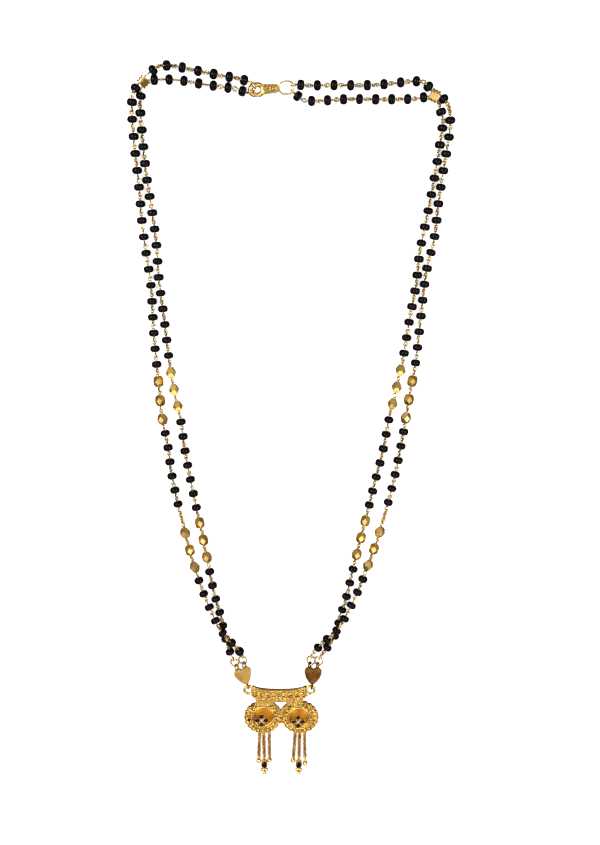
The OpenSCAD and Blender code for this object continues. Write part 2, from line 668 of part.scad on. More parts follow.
// the chains' ends: the eye under a cup, and the loop of the piece that hangs at the bottom
drop_eye_r = (link_w - link_wire) / 2;
link_pitch = link_len - 2 * link_wire - ring_play;
eye_pitch = drop_eye_r + link_len / 2 - 1.5 * link_wire - ring_play;
function chain_dir(i, j) = heading(-90 + CHAIN_TURN[i][j]);
function chain_top(i, j) = cup_at(i)
  + [CHAIN_X[i][j], -cup_h / 2 * sqrt(1 - pow(2 * CHAIN_X[i][j] / cup_w, 2)) - 0.3, drop_z];
function chain_end(i, j) =
  chain_top(i, j) + chain_dir(i, j) * (2 * eye_pitch + (links - 1) * link_pitch);

// turns and rolls a shape that lies along X into the line of a chain
module along_chain(i, j, far, roll) {
  translate(chain_top(i, j) + chain_dir(i, j) * far)
    rotate([0, 0, -90 + CHAIN_TURN[i][j]])
      rotate([roll, 0, 0])
        children();
}

module chain_eyes(i) {
  for (j = [0:2]) {
    along_chain(i, j, 0, -45)
      wire_ring(drop_eye_r, link_wire);
    along_chain(i, j, 0, 0)
      translate([-1.3, -0.35, -0.3])
        cube([1, 0.7, 0.55]);
  }
}

module chain(i, j) {
  for (n = [0:links - 1])
    along_chain(i, j, eye_pitch + n * link_pitch, n % 2 == 0 ? 45 : -45)
      long_ring((link_len - link_w) / 2, (link_w - link_wire) / 2, link_wire);
}

// a loop for a chain's last link, turned against it
module end_loop(i, j) {
  along_chain(i, j, 2 * eye_pitch + (links - 1) * link_pitch, links % 2 == 0 ? 45 : -45)
    wire_ring(drop_eye_r, link_wire);
}

// neck is the length of a second small ball between loop and ball
module ball(i, j, neck) {
  end_loop(i, j);
  along_chain(i, j, 2 * eye_pitch + (links - 1) * link_pitch, 0)
    translate([drop_eye_r, 0, 0]) {
      if (neck > 0)
        translate([neck / 2, 0, 0])
          sphere(d = neck + 0.1);
      translate([neck + ball_d / 2 - 0.1, 0, 0])
        sphere(d = ball_d);
    }
}

// from a middle chain's loop to the middle of its setting
setting_far = 2 * eye_pitch + (links - 1) * link_pitch + drop_eye_r + setting_len / 2 + 0.15;
module at_setting(i) {
  along_chain(i, 1, setting_far, 0)
    translate([0, 0, -drop_z])
      rotate([0, 0, 90])
        children();
}

stone_w = setting_w - 2 * setting_rim;
stone_len = setting_len - 4 * setting_rim;
stone_seat = setting_t * 0.4;
module setting(i) {
  end_loop(i, 1);
  at_setting(i) {
    difference() {
      union() {
        linear_extrude(setting_t)
          leaf(setting_w, setting_len);
        translate([-0.25, setting_len / 2 - 0.45, drop_z - 0.25])
          cube([0.5, 0.65, 0.5]);
      }
      translate([0, 0, stone_seat])
        linear_extrude(setting_t)
          leaf(stone_w, stone_len);
    }
    for (s = [-1, 1])
      translate([s * cluster_d * 0.4, -setting_len / 2 - cluster_d * 0.15, cluster_d / 2])
        sphere(d = cluster_d);
    translate([0, -setting_len / 2 - cluster_d, cluster_d / 2])
      sphere(d = cluster_d);
  }
}

// a cut stone in a pointed oval: rows of height and width as shares of the stone's own,
// from its foot over the girdle to the table
STONE_ROWS = [[0, 0.8], [0.35, 1], [0.5, 1], [1, 0.55]];
module stone(i) {
  n = 12;
  play = 2 * seat_play;
  half = [(stone_w - play) / 2, (stone_len - 2 * play) / 2];
  tall = setting_t + stone_rise - stone_seat - seat_play;
  rim = [for (j = [0:n - 1]) let (t = j < n / 2 ? 1 - 4 * j / n : 4 * j / n - 3)
    [(j < n / 2 ? 1 : -1) * half.x * (1 - t * t), half.y * t]];
  m = len(STONE_ROWS);
  at_setting(i)
    translate([0, 0, stone_seat + seat_play])
      polyhedron([for (r = STONE_ROWS, q = rim) [q.x * r[1], q.y * r[1], tall * r[0]]],
        concat([[for (j = [n - 1:-1:0]) j]],
               [for (k = [0:m - 2], j = [0:n - 1]) let (b = (j + 1) % n)
                 [k * n + j, k * n + b, k * n + n + b, k * n + n + j]],
               [[for (j = [0:n - 1]) (m - 1) * n + j]]));
}

// the bar's raised leaves and grains: how far from its middle, how high, how long
LEAVES = [[0.16, 0.1, 0.5], [0.36, 0.06, 0.62], [0.57, 0.12, 0.62], [0.74, 0.32, 0.5]];
module pendant() {
  difference() {
    union() {
      for (i = [0, 1])
        cup(i);
      translate([cups_at.x - bar_shift, cups_at.y + bar_y, 0]) {
        linear_extrude(bar_t)
          bar_outline();
        for (s = [-1, 1], v = LEAVES)
          translate([s * v[0] * bar_w / 2, v[1] * bar_h, bar_t])
            rotate([0, 0, s * 60])
              long_ring(v[2] * bar_h * 0.18, v[2] * bar_h * 0.3, 0.5);
        for (a = [0:60:300])
          translate([0.55 * cos(a), 0.55 * sin(a), bar_t])
            sphere(d = 0.62);
      }
      translate([cups_at.x, cups_at.y, 0])
        linear_extrude(plate_t)
          mirrored(WEB, cup_w / 2, cup_h / 2);
      for (s = [-1, 1])
        translate(end_ring(s))
          wire_ring(end_ring_r, end_ring_wire);
      for (i = [0, 1])
        chain_eyes(i);
    }
    translate([cups_at.x - 0.2, cups_at.y + bar_y - bar_h / 2, -1])
      linear_extrude(bar_t + 3)
        mirrored(WINDOW, window_w, window_h);
    for (i = [0, 1])
      cells(i);
  }
}

module red_enamel() {
  for (i = [0, 1], a = [90, 270])
    petal(i, a);
}

module green_enamel() {
  for (i = [0, 1], a = [0, 180])
    petal(i, a);
}

module left_outer_beads() { color([0.02, 0.02, 0.03]) beads(0, BLACK); }
module left_inner_beads() { color([0.02, 0.02, 0.03]) beads(1, BLACK); }
module right_outer_beads() { color([0.02, 0.02, 0.03]) beads(2, BLACK); }
module right_inner_beads() { color([0.02, 0.02, 0.03]) beads(3, BLACK); }
module left_outer_gold() { color([0.85, 0.62, 0.25]) beads(0, GOLD); }
module left_inner_gold() { color([0.85, 0.62, 0.25]) beads(1, GOLD); }
module right_outer_gold() { color([0.85, 0.62, 0.25]) beads(2, GOLD); }
module right_inner_gold() { color([0.85, 0.62, 0.25]) beads(3, GOLD); }
module left_outer_thread() { color([0.75, 0.6, 0.3]) thread(0); }
module left_inner_thread() { color([0.75, 0.6, 0.3]) thread(1); }
module right_outer_thread() { color([0.75, 0.6, 0.3]) thread(2); }
module right_inner_thread() { color([0.75, 0.6, 0.3]) thread(3); }
module left_collar() { color([0.85, 0.62, 0.25]) collar(0); }
module right_collar() { color([0.85, 0.62, 0.25]) collar(1); }
module left_outer_ring() { color([0.85, 0.62, 0.25]) ring(0, 1); }
module left_inner_ring() { color([0.85, 0.62, 0.25]) ring(0, -1); }
module right_outer_ring() { color([0.85, 0.62, 0.25]) ring(1, -1); }
module right_inner_ring() { color([0.85, 0.62, 0.25]) ring(1, 1); }
module left_heart() { color([0.85, 0.62, 0.25]) heart(0); }
module right_heart() { color([0.85, 0.62, 0.25]) heart(1); }
module left_chain_a() { color([0.85, 0.62, 0.25]) chain(0, 0); }
module left_chain_b() { color([0.85, 0.62, 0.25]) chain(0, 1); }
module left_chain_c() { color([0.85, 0.62, 0.25]) chain(0, 2); }
module right_chain_a() { color([0.85, 0.62, 0.25]) chain(1, 0); }
module right_chain_b() { color([0.85, 0.62, 0.25]) chain(1, 1); }
module right_chain_c() { color([0.85, 0.62, 0.25]) chain(1, 2); }
module left_ball_a() { color([0.85, 0.62, 0.25]) ball(0, 0, 0); }
module left_ball_c() { color([0.85, 0.62, 0.25]) ball(0, 2, 0); }
module right_ball_a() { color([0.85, 0.62, 0.25]) ball(1, 0, 0); }
module right_ball_c() { color([0.85, 0.62, 0.25]) ball(1, 2, 1); }
module left_setting() { color([0.85, 0.62, 0.25]) setting(0); }
module right_setting() { color([0.85, 0.62, 0.25]) setting(1); }
module left_stone() { color([0.25, 0.02, 0.04]) stone(0); }
module right_stone() { color([0.05, 0.05, 0.08]) stone(1); }

left_outer_beads();
left_inner_beads();
right_outer_beads();
right_inner_beads();
left_outer_gold();
left_inner_gold();
right_outer_gold();
right_inner_gold();
left_outer_thread();
left_inner_thread();
right_outer_thread();
right_inner_thread();
left_collar();
right_collar();
clasp();
left_outer_ring();
left_inner_ring();
right_outer_ring();
right_inner_ring();
left_heart();
right_heart();
pendant();
red_enamel();
green_enamel();
left_chain_a();
left_chain_b();
left_chain_c();
right_chain_a();
right_chain_b();
right_chain_c();
left_ball_a();
left_ball_c();
right_ball_a();
right_ball_c();
left_setting();
right_setting();
left_stone();
right_stone();
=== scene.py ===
"""Looks of a two-strand mangalsutra that lies flat: glass and gold beads on linked wire, a clasp,
two hearts and a pendant of two cups with chains. Lengths are millimetres in the CAD's frame, and
become metres when a mesh is made. Only the studio at the end is in metres."""

import math
import random
from collections import namedtuple

import bpy
import numpy as np
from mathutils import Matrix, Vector


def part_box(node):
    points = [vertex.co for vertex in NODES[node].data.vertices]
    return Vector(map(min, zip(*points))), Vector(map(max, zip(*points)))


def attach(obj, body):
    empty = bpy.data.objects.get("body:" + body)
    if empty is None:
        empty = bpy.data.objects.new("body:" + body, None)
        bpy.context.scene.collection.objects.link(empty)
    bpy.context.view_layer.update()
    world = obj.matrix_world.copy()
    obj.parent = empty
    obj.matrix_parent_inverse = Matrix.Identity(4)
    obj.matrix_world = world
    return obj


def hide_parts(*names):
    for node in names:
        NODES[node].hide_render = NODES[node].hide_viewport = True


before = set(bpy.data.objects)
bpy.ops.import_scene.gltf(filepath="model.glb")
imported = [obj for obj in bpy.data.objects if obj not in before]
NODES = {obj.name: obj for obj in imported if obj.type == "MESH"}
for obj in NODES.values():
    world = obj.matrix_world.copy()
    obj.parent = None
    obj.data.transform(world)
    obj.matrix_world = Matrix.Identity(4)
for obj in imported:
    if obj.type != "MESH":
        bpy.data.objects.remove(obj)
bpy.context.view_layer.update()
MM = 0.001
UP = np.array([0.0, 0.0, 1.0])
SIDES = ("left", "right")

# Small vector helpers


def vec(*v):
    return np.array(v, dtype=float)


def unit(v):
    return v / np.linalg.norm(v)


def heading(degrees):
    """The level direction at an angle from X."""
    a = math.radians(degrees)
    return vec(math.cos(a), math.sin(a), 0)


def turned(v, axis, degrees):
    """v turned about a unit axis."""
    a = math.radians(degrees)
    return v * math.cos(a) + np.cross(axis, v) * math.sin(a) + axis * np.dot(axis, v) * (1 - math.cos(a))


def run_of(path):
    """The length along a path at each of its points."""
    return np.concatenate([[0], np.cumsum(np.linalg.norm(np.diff(path, axis=0), axis=1))])


# Mesh building

PLAIN_TINT = 0.5
# the latitude, in radians, where a ball or dome is closed by a flat cap
POLE = 1.5
# how strongly a smooth path keeps to its end directions, as a share of the distance between its ends
CURVE_PULL = 0.36


class Soup:
    """Vertices and faces of many small shapes that become one mesh."""

    def __init__(self):
        self.points = []
        self.faces = []
        self.tints = []
        self.count = 0

    def grid(self, rows, wrap_rows=False, tint=PLAIN_TINT):
        """Faces between closed rings of points; the rings may close on each other too."""
        rows = np.asarray(rows, dtype=float)
        m, n = rows.shape[:2]
        base = self.count
        self.points.append(rows.reshape(-1, 3))
        self.tints += [tint] * (m * n)
        self.count += m * n
        for i in range(m if wrap_rows else m - 1):
            a, b = base + i * n, base + ((i + 1) % m) * n
            for j in range(n):
                k = (j + 1) % n
                self.faces.append((a + j, a + k, b + k, b + j))
        return base

    def cap(self, base, n, back=False):
        """One face over a ring of n points that starts at base."""
        ring = tuple(range(base, base + n))
        self.faces.append(ring[::-1] if back else ring)

    def build(self, name, look, slot, stands_for=()):
        """The smooth mesh object, in metres, riding on the body."""
        mesh = bpy.data.meshes.new(name)
        points = np.concatenate(self.points) * MM
        mesh.from_pydata(points.tolist(), [], self.faces)
        layer = mesh.attributes.new("tint", "FLOAT", "POINT")
        layer.data.foreach_set("value", self.tints)
        mesh.polygons.foreach_set("use_smooth", [True] * len(mesh.polygons))
        mesh.materials.append(look)
        mesh.update()
        piece = bpy.data.objects.new(name, mesh)
        bpy.context.scene.collection.objects.link(piece)
        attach(piece, "root")
        if stands_for:
            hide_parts(*stands_for)


def tube(soup, path, radius, sides=8, closed=False, tint=PLAIN_TINT, start=UP):
    """A round wire along a path; start is a direction across the wire at its first point."""
    path = np.asarray(path, dtype=float)
    m = len(path)
    if closed:
        ways = np.roll(path, -1, 0) - np.roll(path, 1, 0)
    else:
        ways = np.gradient(path, axis=0)
    ways /= np.linalg.norm(ways, axis=1)[:, None]
    nearly_along = 0.95
    side = vec(1, 0, 0) if abs(np.dot(start, ways[0])) > nearly_along else start
    radii = np.broadcast_to(radius, (m,))
    angles = np.arange(sides) * 2 * math.pi / sides
    rows = []
    for i in range(m):
        side = unit(side - ways[i] * np.dot(side, ways[i]))
        across = np.cross(ways[i], side)
        ring = np.outer(np.cos(angles), side) + np.outer(np.sin(angles), across)
        rows.append(path[i] + radii[i] * ring)
    base = soup.grid(rows, wrap_rows=closed, tint=tint)
    if not closed:
        soup.cap(base, sides, back=True)
        soup.cap(base + (m - 1) * sides, sides)


def loop(soup, mid, along, across, length, width, wire, tint=PLAIN_TINT, steps=24, sides=8):
    """A closed wire loop, round or oval, in the plane of along and across; sizes over the outside."""
    half = max(length - width, 0) / 2
    r = (min(width, length) - wire) / 2
    path = []
    for i in range(steps):
        a = 2 * math.pi * (i + 0.5) / steps
        shift = half if math.cos(a) > 0 else -half
        path.append(mid + along * (shift + r * math.cos(a)) + across * r * math.sin(a))
    tube(soup, path, wire / 2, sides, closed=True, tint=tint, start=np.cross(along, across))


def ball(soup, mid, radius, steps=8, squash=1.0):
    """A small ball of metal, flattened by squash along Z."""
    rows = []
    sides = steps + 2
    for i in range(steps + 1):
        a = math.pi * (i / steps - 0.5)
        a = max(min(a, POLE), -POLE)
        ring = []
        for j in range(sides):
            b = 2 * math.pi * j / sides
            out = vec(math.cos(a) * math.cos(b), math.cos(a) * math.sin(b), squash * math.sin(a))
            ring.append(mid + out * radius)
        rows.append(ring)
    base = soup.grid(rows)
    soup.cap(base, sides, back=True)
    soup.cap(base + steps * sides, sides)


def dome(soup, mid, along, length, width, height, steps=7):
    """A flat-footed grain of metal, long along a level direction."""
    across = np.cross(UP, along)
    sides = 2 * steps
    rows = []
    for i in range(steps):
        a = POLE * i / (steps - 1)
        ring = []
        for j in range(sides):
            b = 2 * math.pi * j / sides
            flat = along * (length / 2 * math.cos(b)) + across * (width / 2 * math.sin(b))
            ring.append(mid + flat * math.cos(a) + UP * height * math.sin(a))
        rows.append(ring)
    base = soup.grid(rows)
    soup.cap(base, sides, back=True)
    soup.cap(base + (steps - 1) * sides, sides)


def curve(p0, t0, p1, t1, steps=32):
    """A smooth path from p0 to p1 that leaves along t0 and arrives along t1."""
    pull = np.linalg.norm(p1 - p0) * CURVE_PULL
    a, b = p0 + t0 * pull, p1 - t1 * pull
    t = np.linspace(0, 1, steps + 1)[:, None]
    return (1 - t) ** 3 * p0 + 3 * (1 - t) ** 2 * t * a + 3 * (1 - t) * t**2 * b + t**3 * p1


def place_at(path, far, s):
    """The point at length s along a path; far is run_of(path)."""
    return vec(*(np.interp(s, far, path[:, k]) for k in range(3)))


def point_on(path, far, s):
    """The point at length s along a path, kept between its ends, and the direction there."""
    nudge = 0.1
    s = min(max(s, 0), far[-1])
    ahead, behind = min(s + nudge, far[-1]), max(s - nudge, 0)
    return place_at(path, far, s), unit(place_at(path, far, ahead) - place_at(path, far, behind))


def leaf_path(width, length, steps=10):
    """The outline of a pointed oval, its long way along Y."""
    r = (width**2 + length**2) / (4 * width)
    reach = math.asin(length / 2 / r)
    shift = r - width / 2
    right = [(r * math.cos(a) - shift, r * math.sin(a)) for a in np.linspace(-reach, reach, steps)]
    return right[:-1] + [(-x, y) for x, y in right[::-1]][:-1]


# Reading the CAD nodes

Solid = namedtuple("Solid", "middle ways reach spreads")


def joined_labels(corners, count):
    """The same label for all points that triangles join."""
    label = np.arange(count)
    while True:
        least = label[corners].min(axis=1)
        new = label.copy()
        for k in range(3):
            np.minimum.at(new, corners[:, k], least)
        new = new[new]
        if (new == label).all():
            return label
        label = new


def solids(name):
    """The loose solids of a CAD node: middle, three own directions, half lengths and spreads along them."""
    mesh = NODES[name].data
    points = np.empty(len(mesh.vertices) * 3)
    mesh.vertices.foreach_get("co", points)
    points = points.reshape(-1, 3) / MM
    _, first, same = np.unique(np.round(points, 3), axis=0, return_index=True, return_inverse=True)
    points = points[first]
    mesh.calc_loop_triangles()
    corners = np.empty(len(mesh.loop_triangles) * 3, dtype=np.int64)
    mesh.loop_triangles.foreach_get("vertices", corners)
    corners = same.reshape(-1)[corners].reshape(-1, 3)
    owner = joined_labels(corners, len(points))[corners[:, 0]]
    found = []
    for one in np.unique(owner):
        tri = points[corners[owner == one]]
        area = np.linalg.norm(np.cross(tri[:, 1] - tri[:, 0], tri[:, 2] - tri[:, 0]), axis=1)
        middle = (tri.mean(axis=1) * area[:, None]).sum(axis=0) / area.sum()
        off = tri.mean(axis=1) - middle
        spreads, ways = np.linalg.eigh(np.einsum("n,ni,nj->ij", area, off, off) / area.sum())
        reach = np.abs((tri.reshape(-1, 3) - middle) @ ways).max(axis=0)
        found.append(Solid(middle, ways.T, reach, spreads))
    return found


def hole_way(solid):
    """The direction of a bead's hole: a bead spreads alike in the two directions across it."""
    a, b, c = solid.spreads
    return solid.ways[int(np.argmin([abs(b - c), abs(a - c), abs(a - b)]))]


# The strands' ends, as in part.scad. Angles are in degrees. Each strand starts with an eye on the
# clasp, at start_angle round its end, and start_turn and start_climb say which way the wire leaves.

Strand = namedtuple("Strand", "name side lane start_angle start_turn start_climb start_r end_turn")
OUTER, INNER = 0, 1
STRANDS = (
    Strand("left_outer", "left", OUTER, 110, 120, 50, 1.03, 88),
    Strand("left_inner", "left", INNER, 198, 195, 0, 1.03, 112),
    Strand("right_outer", "right", OUTER, 18, 15, 0, 0.65, 84),
    Strand("right_inner", "right", INNER, -42, -45, 0, 0.65, 70),
)
END_CLIMB = 35
END_R = 0.65
EYE_WIRE = 0.5
RING_R = 1.35

CLASP_LOW, CLASP_HIGH = (np.array(corner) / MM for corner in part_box("clasp"))
CLASP_AT = vec(-9.9, 103.9, (CLASP_LOW[2] + CLASP_HIGH[2]) / 2)
CLASP_TURN = 4
EYE_ARC, EYE_HALF, EYE_BAR = 1.42, 0.35, 1.26
HOOK_ARC, HOOK_HALF, HOOK_X = 1.75, 0.4, 8.45


def on_clasp(x, y, z=0):
    """A point in the clasp's own frame: X runs from its eye to its hook."""
    a, b = heading(CLASP_TURN), heading(CLASP_TURN + 90)
    return CLASP_AT + a * x + b * y + UP * z


def leaves(turn, climb):
    """The direction of a wire that heads for turn and climbs."""
    c = math.radians(climb)
    return heading(turn) * math.cos(c) + UP * math.sin(c)


def start_eye(strand):
    """The middle of the eye that hangs on the clasp's own eye or on its hook."""
    a = math.radians(strand.start_angle)
    if strand.side == "left":
        return on_clasp(-EYE_HALF + EYE_ARC * math.cos(a), EYE_ARC * math.sin(a))
    return on_clasp(HOOK_X + HOOK_HALF + HOOK_ARC * math.cos(a), HOOK_ARC * math.sin(a))


def end_eye(strand):
    """The strand's last eye sits on its jump ring, in the ring's own plane."""
    ring = solids(strand.name + "_ring")[0]
    normal = ring.ways[0]
    normal = normal if normal[2] > 0 else -normal
    flat = unit(np.cross(normal, UP))
    flat = flat if flat[1] > 0 else -flat
    lifted = np.cross(normal, flat)
    turn = math.degrees(math.atan2(flat[1], flat[0]))
    f = math.radians(strand.end_turn - turn)
    return ring.middle + RING_R * (flat * math.cos(f) + lifted * math.sin(f))


def collar_passes(side):
    """For the outer and the inner strand: where it enters and leaves the collar, and which way."""
    collar = solids(side + "_collar")[0]
    longest, middling, shortest = np.argsort(-collar.reach)
    out, along = collar.ways[longest], collar.ways[middling]
    out = out if out[1] > 0 else -out
    along = along if along[1] < 0 else -along
    shift = collar.reach[longest] - collar.reach[shortest]
    half = along * collar.reach[middling]
    passes = []
    for sign in (1, -1):
        mid = collar.middle + out * sign * shift
        passes.append((mid - half, mid + half, along))
    return passes


def strand_beads(strand):
    """The strand's beads from clasp to jump ring: (kind, middle, direction of the hole)."""
    left = [("black", s.middle, hole_way(s)) for s in solids(strand.name + "_beads")]
    left += [("gold", s.middle, hole_way(s)) for s in solids(strand.name + "_gold")]
    at = start_eye(strand)
    row = []
    while left:
        nearest = min(range(len(left)), key=lambda i: np.linalg.norm(left[i][1] - at))
        kind, mid, way = left.pop(nearest)
        way = way if np.dot(way, mid - at) > 0 else -way
        row.append((kind, mid, way))
        at = mid
    return row


# The pendant's places and sizes, as in part.scad

CUPS = (vec(-9.69, -90.4, 0), vec(2.41, -90.4, 0))
CUP_HALF = (6.05, 5.65)
DISHES = (vec(-9.49, -89.95, 0), vec(2.01, -90.3, 0))
FLOWERS = (vec(-10.04, -90.95, 0), vec(1.81, -91.4, 0))
DISH_R, DISH_EDGE = 3.2, 0.12
PLATE_TOP, BAR_TOP, FLOWER_TOP = 1.1, 1.5, 2.05
BAR_MID = vec(-4.24, -82.945, 0)
BAR_W, BAR_H = 19.9, 3.8
SCALLOPS = 20
SCALLOP_R = 1.029
PETAL_R, PETAL_W, PETAL_LEN = 1.42, 1.28, 1.5

# Materials

# sockets of Blender's Mix node: factor, first and second value, for colours and for numbers
MIX_COLOUR = (0, 6, 7)
MIX_NUMBER = (0, 2, 3)
SHADER_SOCKETS = {
    "colour": "Base Color",
    "rough": "Roughness",
    "metal": "Metallic",
    "coat": "Coat Weight",
    "coat_rough": "Coat Roughness",
    "ior": "IOR",
    "shine": "Specular IOR Level",
}


class Graph:
    """The nodes of a material or of the world, built with short calls."""

    def __init__(self, owner, shader="Principled BSDF"):
        owner.use_nodes = True
        self.owner = owner
        self.nodes = owner.node_tree.nodes
        self.links = owner.node_tree.links
        self.shader = self.nodes[shader]

    def give(self, socket, value):
        """Link a socket to another, or set its value."""
        if isinstance(value, bpy.types.NodeSocket):
            self.links.new(value, socket)
        elif isinstance(value, tuple) and socket.type == "RGBA":
            socket.default_value = (*value, 1)
        else:
            socket.default_value = value

    def node(self, kind, inputs=(), **settings):
        made = self.nodes.new(kind)
        for key, value in settings.items():
            setattr(made, key, value)
        for key, value in dict(inputs).items():
            self.give(made.inputs[key], value)
        return made

    def place(self, space="Object"):
        return self.node("ShaderNodeTexCoord").outputs[space]

    def noise(self, scale, detail=3.0, roughness=0.55, where=None):
        inputs = {"Vector": where or self.place(), "Scale": scale, "Detail": detail, "Roughness": roughness}
        return self.node("ShaderNodeTexNoise", inputs).outputs["Fac"]

    def ramp(self, value, *stops):
        """Colours at their places from 0 to 1."""
        made = self.node("ShaderNodeValToRGB", {"Fac": value})
        line = made.color_ramp
        while len(line.elements) < len(stops):
            line.elements.new(0.5)
        for element, (at, colour) in zip(line.elements, stops):
            element.position = at
            element.color = (*colour, 1)
        return made.outputs["Color"]

    def spread(self, value, low, high, start=0.0, end=1.0):
        """A value from start to end as a number from low to high."""
        inputs = {"Value": value, "From Min": start, "From Max": end, "To Min": low, "To Max": high}
        return self.node("ShaderNodeMapRange", inputs).outputs["Result"]

    def mix(self, factor, a, b):
        """Colour a where factor is 0, b where it is 1."""
        inputs = dict(zip(MIX_COLOUR, (factor, a, b)))
        return self.node("ShaderNodeMix", inputs, data_type="RGBA").outputs[2]

    def mix_number(self, factor, a, b):
        inputs = dict(zip(MIX_NUMBER, (factor, a, b)))
        return self.node("ShaderNodeMix", inputs, data_type="FLOAT").outputs[0]

    def tint(self):
        """Each small shape's own number from 0 to 1."""
        return self.node("ShaderNodeAttribute", attribute_name="tint").outputs["Fac"]

    def crevice_shade(self, distance):
        """1 in the open, towards 0 in crevices: ambient occlusion, the mask for painted shade."""
        return self.node("ShaderNodeAmbientOcclusion", {"Distance": distance * MM}, samples=6).outputs["AO"]

    def bump(self, height, strength, distance):
        inputs = {"Height": height, "Strength": strength, "Distance": distance * MM}
        self.give(self.shader.inputs["Normal"], self.node("ShaderNodeBump", inputs).outputs["Normal"])

    def set(self, **values):
        for key, value in values.items():
            self.give(self.shader.inputs[SHADER_SOCKETS[key]], value)


def material(name):
    return Graph(bpy.data.materials.new(name))


BRIGHT = (0.87, 0.57, 0.165)
DEEP = (0.67, 0.37, 0.075)
# colours that painted shade darkens crevices towards
CREVICE_SHADE_BROWN = (0.09, 0.032, 0.004)
WARM_CREVICE_SHADE = (0.16, 0.07, 0.012)


def gold(name, light, deep, dark=CREVICE_SHADE_BROWN, rough=(0.16, 0.32), grain=0.12, crevice_shade=0.0, patches=420):
    """Polished or worn gold: colour drifts between light and deep, and painted shade from ambient occlusion
    darkens crevices towards dark.
    """
    g = material(name)
    colour = g.ramp(g.noise(patches, detail=2.0), (0.32, deep), (0.68, light))
    # painted shade: ambient occlusion darkens crevices towards the dark colour
    if crevice_shade:
        shade = g.spread(g.crevice_shade(crevice_shade), 1.0, 0.0, start=0.25, end=0.85)
        colour = g.mix(shade, colour, dark)
    fine = g.noise(5200, detail=4.0)
    g.set(colour=colour, metal=1.0, rough=g.spread(fine, *rough, start=0.3, end=0.7))
    g.bump(fine, strength=grain, distance=0.05)
    return g.owner


def linked_wire_gold():
    """Wire loops: each has its own tint, from brown through yellow gold to greenish grey."""
    g = material("linked_wire")
    each = g.ramp(
        g.tint(),
        (0.0, (0.52, 0.30, 0.10)),
        (0.35, (0.74, 0.51, 0.20)),
        (0.7, (0.78, 0.64, 0.34)),
        (1.0, (0.48, 0.47, 0.36)),
    )
    worn = g.spread(g.noise(900, detail=2.0), 0.0, 0.4, start=0.35, end=0.7)
    colour = g.mix(worn, each, (0.36, 0.23, 0.08))
    # painted shade: ambient occlusion darkens the crevices between the loops
    loop_crevice_shade = g.spread(g.crevice_shade(0.35), 0.7, 0.0, start=0.25, end=0.8)
    colour = g.mix(loop_crevice_shade, colour, (0.10, 0.045, 0.012))
    g.set(colour=colour, metal=1.0, rough=g.spread(g.noise(4000), 0.18, 0.34, start=0.3, end=0.7))
    g.bump(g.noise(6000), strength=0.08, distance=0.03)
    return g.owner


def black_glass():
    """Glossy black glass with a faint smoke in it."""
    g = material("black_glass")
    smoke = g.noise(700, detail=2.0)
    colour = g.ramp(smoke, (0.35, (0.0008, 0.0008, 0.001)), (0.75, (0.003, 0.0025, 0.004)))
    rough = g.spread(g.noise(2500), 0.06, 0.12, start=0.3, end=0.7)
    g.set(colour=colour, rough=rough, shine=0.1, ior=1.5)
    g.bump(g.noise(1500, detail=1.0), strength=0.05, distance=0.08)
    return g.owner


def enamel(name, deep, light):
    """Dark enamel, or a dark stone, with a cloudy colour."""
    g = material(name)
    cloud = g.noise(1800, detail=2.0)
    colour = g.ramp(cloud, (0.35, deep), (0.75, light))
    g.set(colour=colour, rough=g.spread(cloud, 0.06, 0.16), shine=0.1, coat=0.05, coat_rough=0.05)
    g.bump(g.noise(2600, detail=1.0), strength=0.06, distance=0.04)
    return g.owner


def dish_mask(g):
    """1 inside the two dishes, 0 outside, with a soft edge."""
    where = g.place()
    masks = []
    for x, y, _ in DISHES:
        dish = (float(x) * MM, float(y) * MM, 0)
        off = g.node("ShaderNodeVectorMath", {0: where, 1: dish}, operation="SUBTRACT")
        flat = g.node("ShaderNodeVectorMath", {0: off.outputs[0], 1: (1, 1, 0)}, operation="MULTIPLY")
        far = g.node("ShaderNodeVectorMath", {0: flat.outputs[0]}, operation="LENGTH")
        masks.append(g.spread(far.outputs["Value"], 1.0, 0.0, (DISH_R - DISH_EDGE) * MM, DISH_R * MM))
    return g.node("ShaderNodeMath", {0: masks[0], 1: masks[1]}, operation="MAXIMUM").outputs[0]


def cup_gold():
    """The pendant's gold, with the smooth orange dishes in the middle of its cups, and painted shade in the
    crevices of both.
    """
    g = material("pendant_gold")
    mask = dish_mask(g)
    body = g.ramp(g.noise(600), (0.3, DEEP), (0.7, BRIGHT))
    # painted shade: ambient occlusion darkens the body's crevices
    body = g.mix(g.spread(g.crevice_shade(0.6), 1.0, 0.0, start=0.35, end=0.98), body, CREVICE_SHADE_BROWN)
    body_rough = g.spread(g.noise(4200, detail=4.0), 0.18, 0.36, start=0.3, end=0.7)
    dish = g.ramp(g.noise(500, detail=2.0), (0.3, (0.36, 0.132, 0.010)), (0.7, (0.43, 0.19, 0.019)))
    # painted shade: ambient occlusion darkens the dish near the crevices around it
    dish = g.mix(g.spread(g.crevice_shade(1.1), 1.0, 0.0, start=0.35, end=0.95), dish, (0.30, 0.10, 0.01))
    g.set(colour=g.mix(mask, body, dish), metal=1.0, rough=g.mix_number(mask, body_rough, 0.46))
    g.bump(g.noise(2600, detail=4.0), strength=g.spread(mask, 0.3, 0.04), distance=0.12)
    return g.owner


BLACK_GLASS = black_glass()
LINKED_WIRE = linked_wire_gold()
PENDANT_GOLD = cup_gold()
GOLD_BEAD = gold("gold_bead", (0.94, 0.67, 0.23), (0.82, 0.54, 0.15), rough=(0.22, 0.34), grain=0.02)
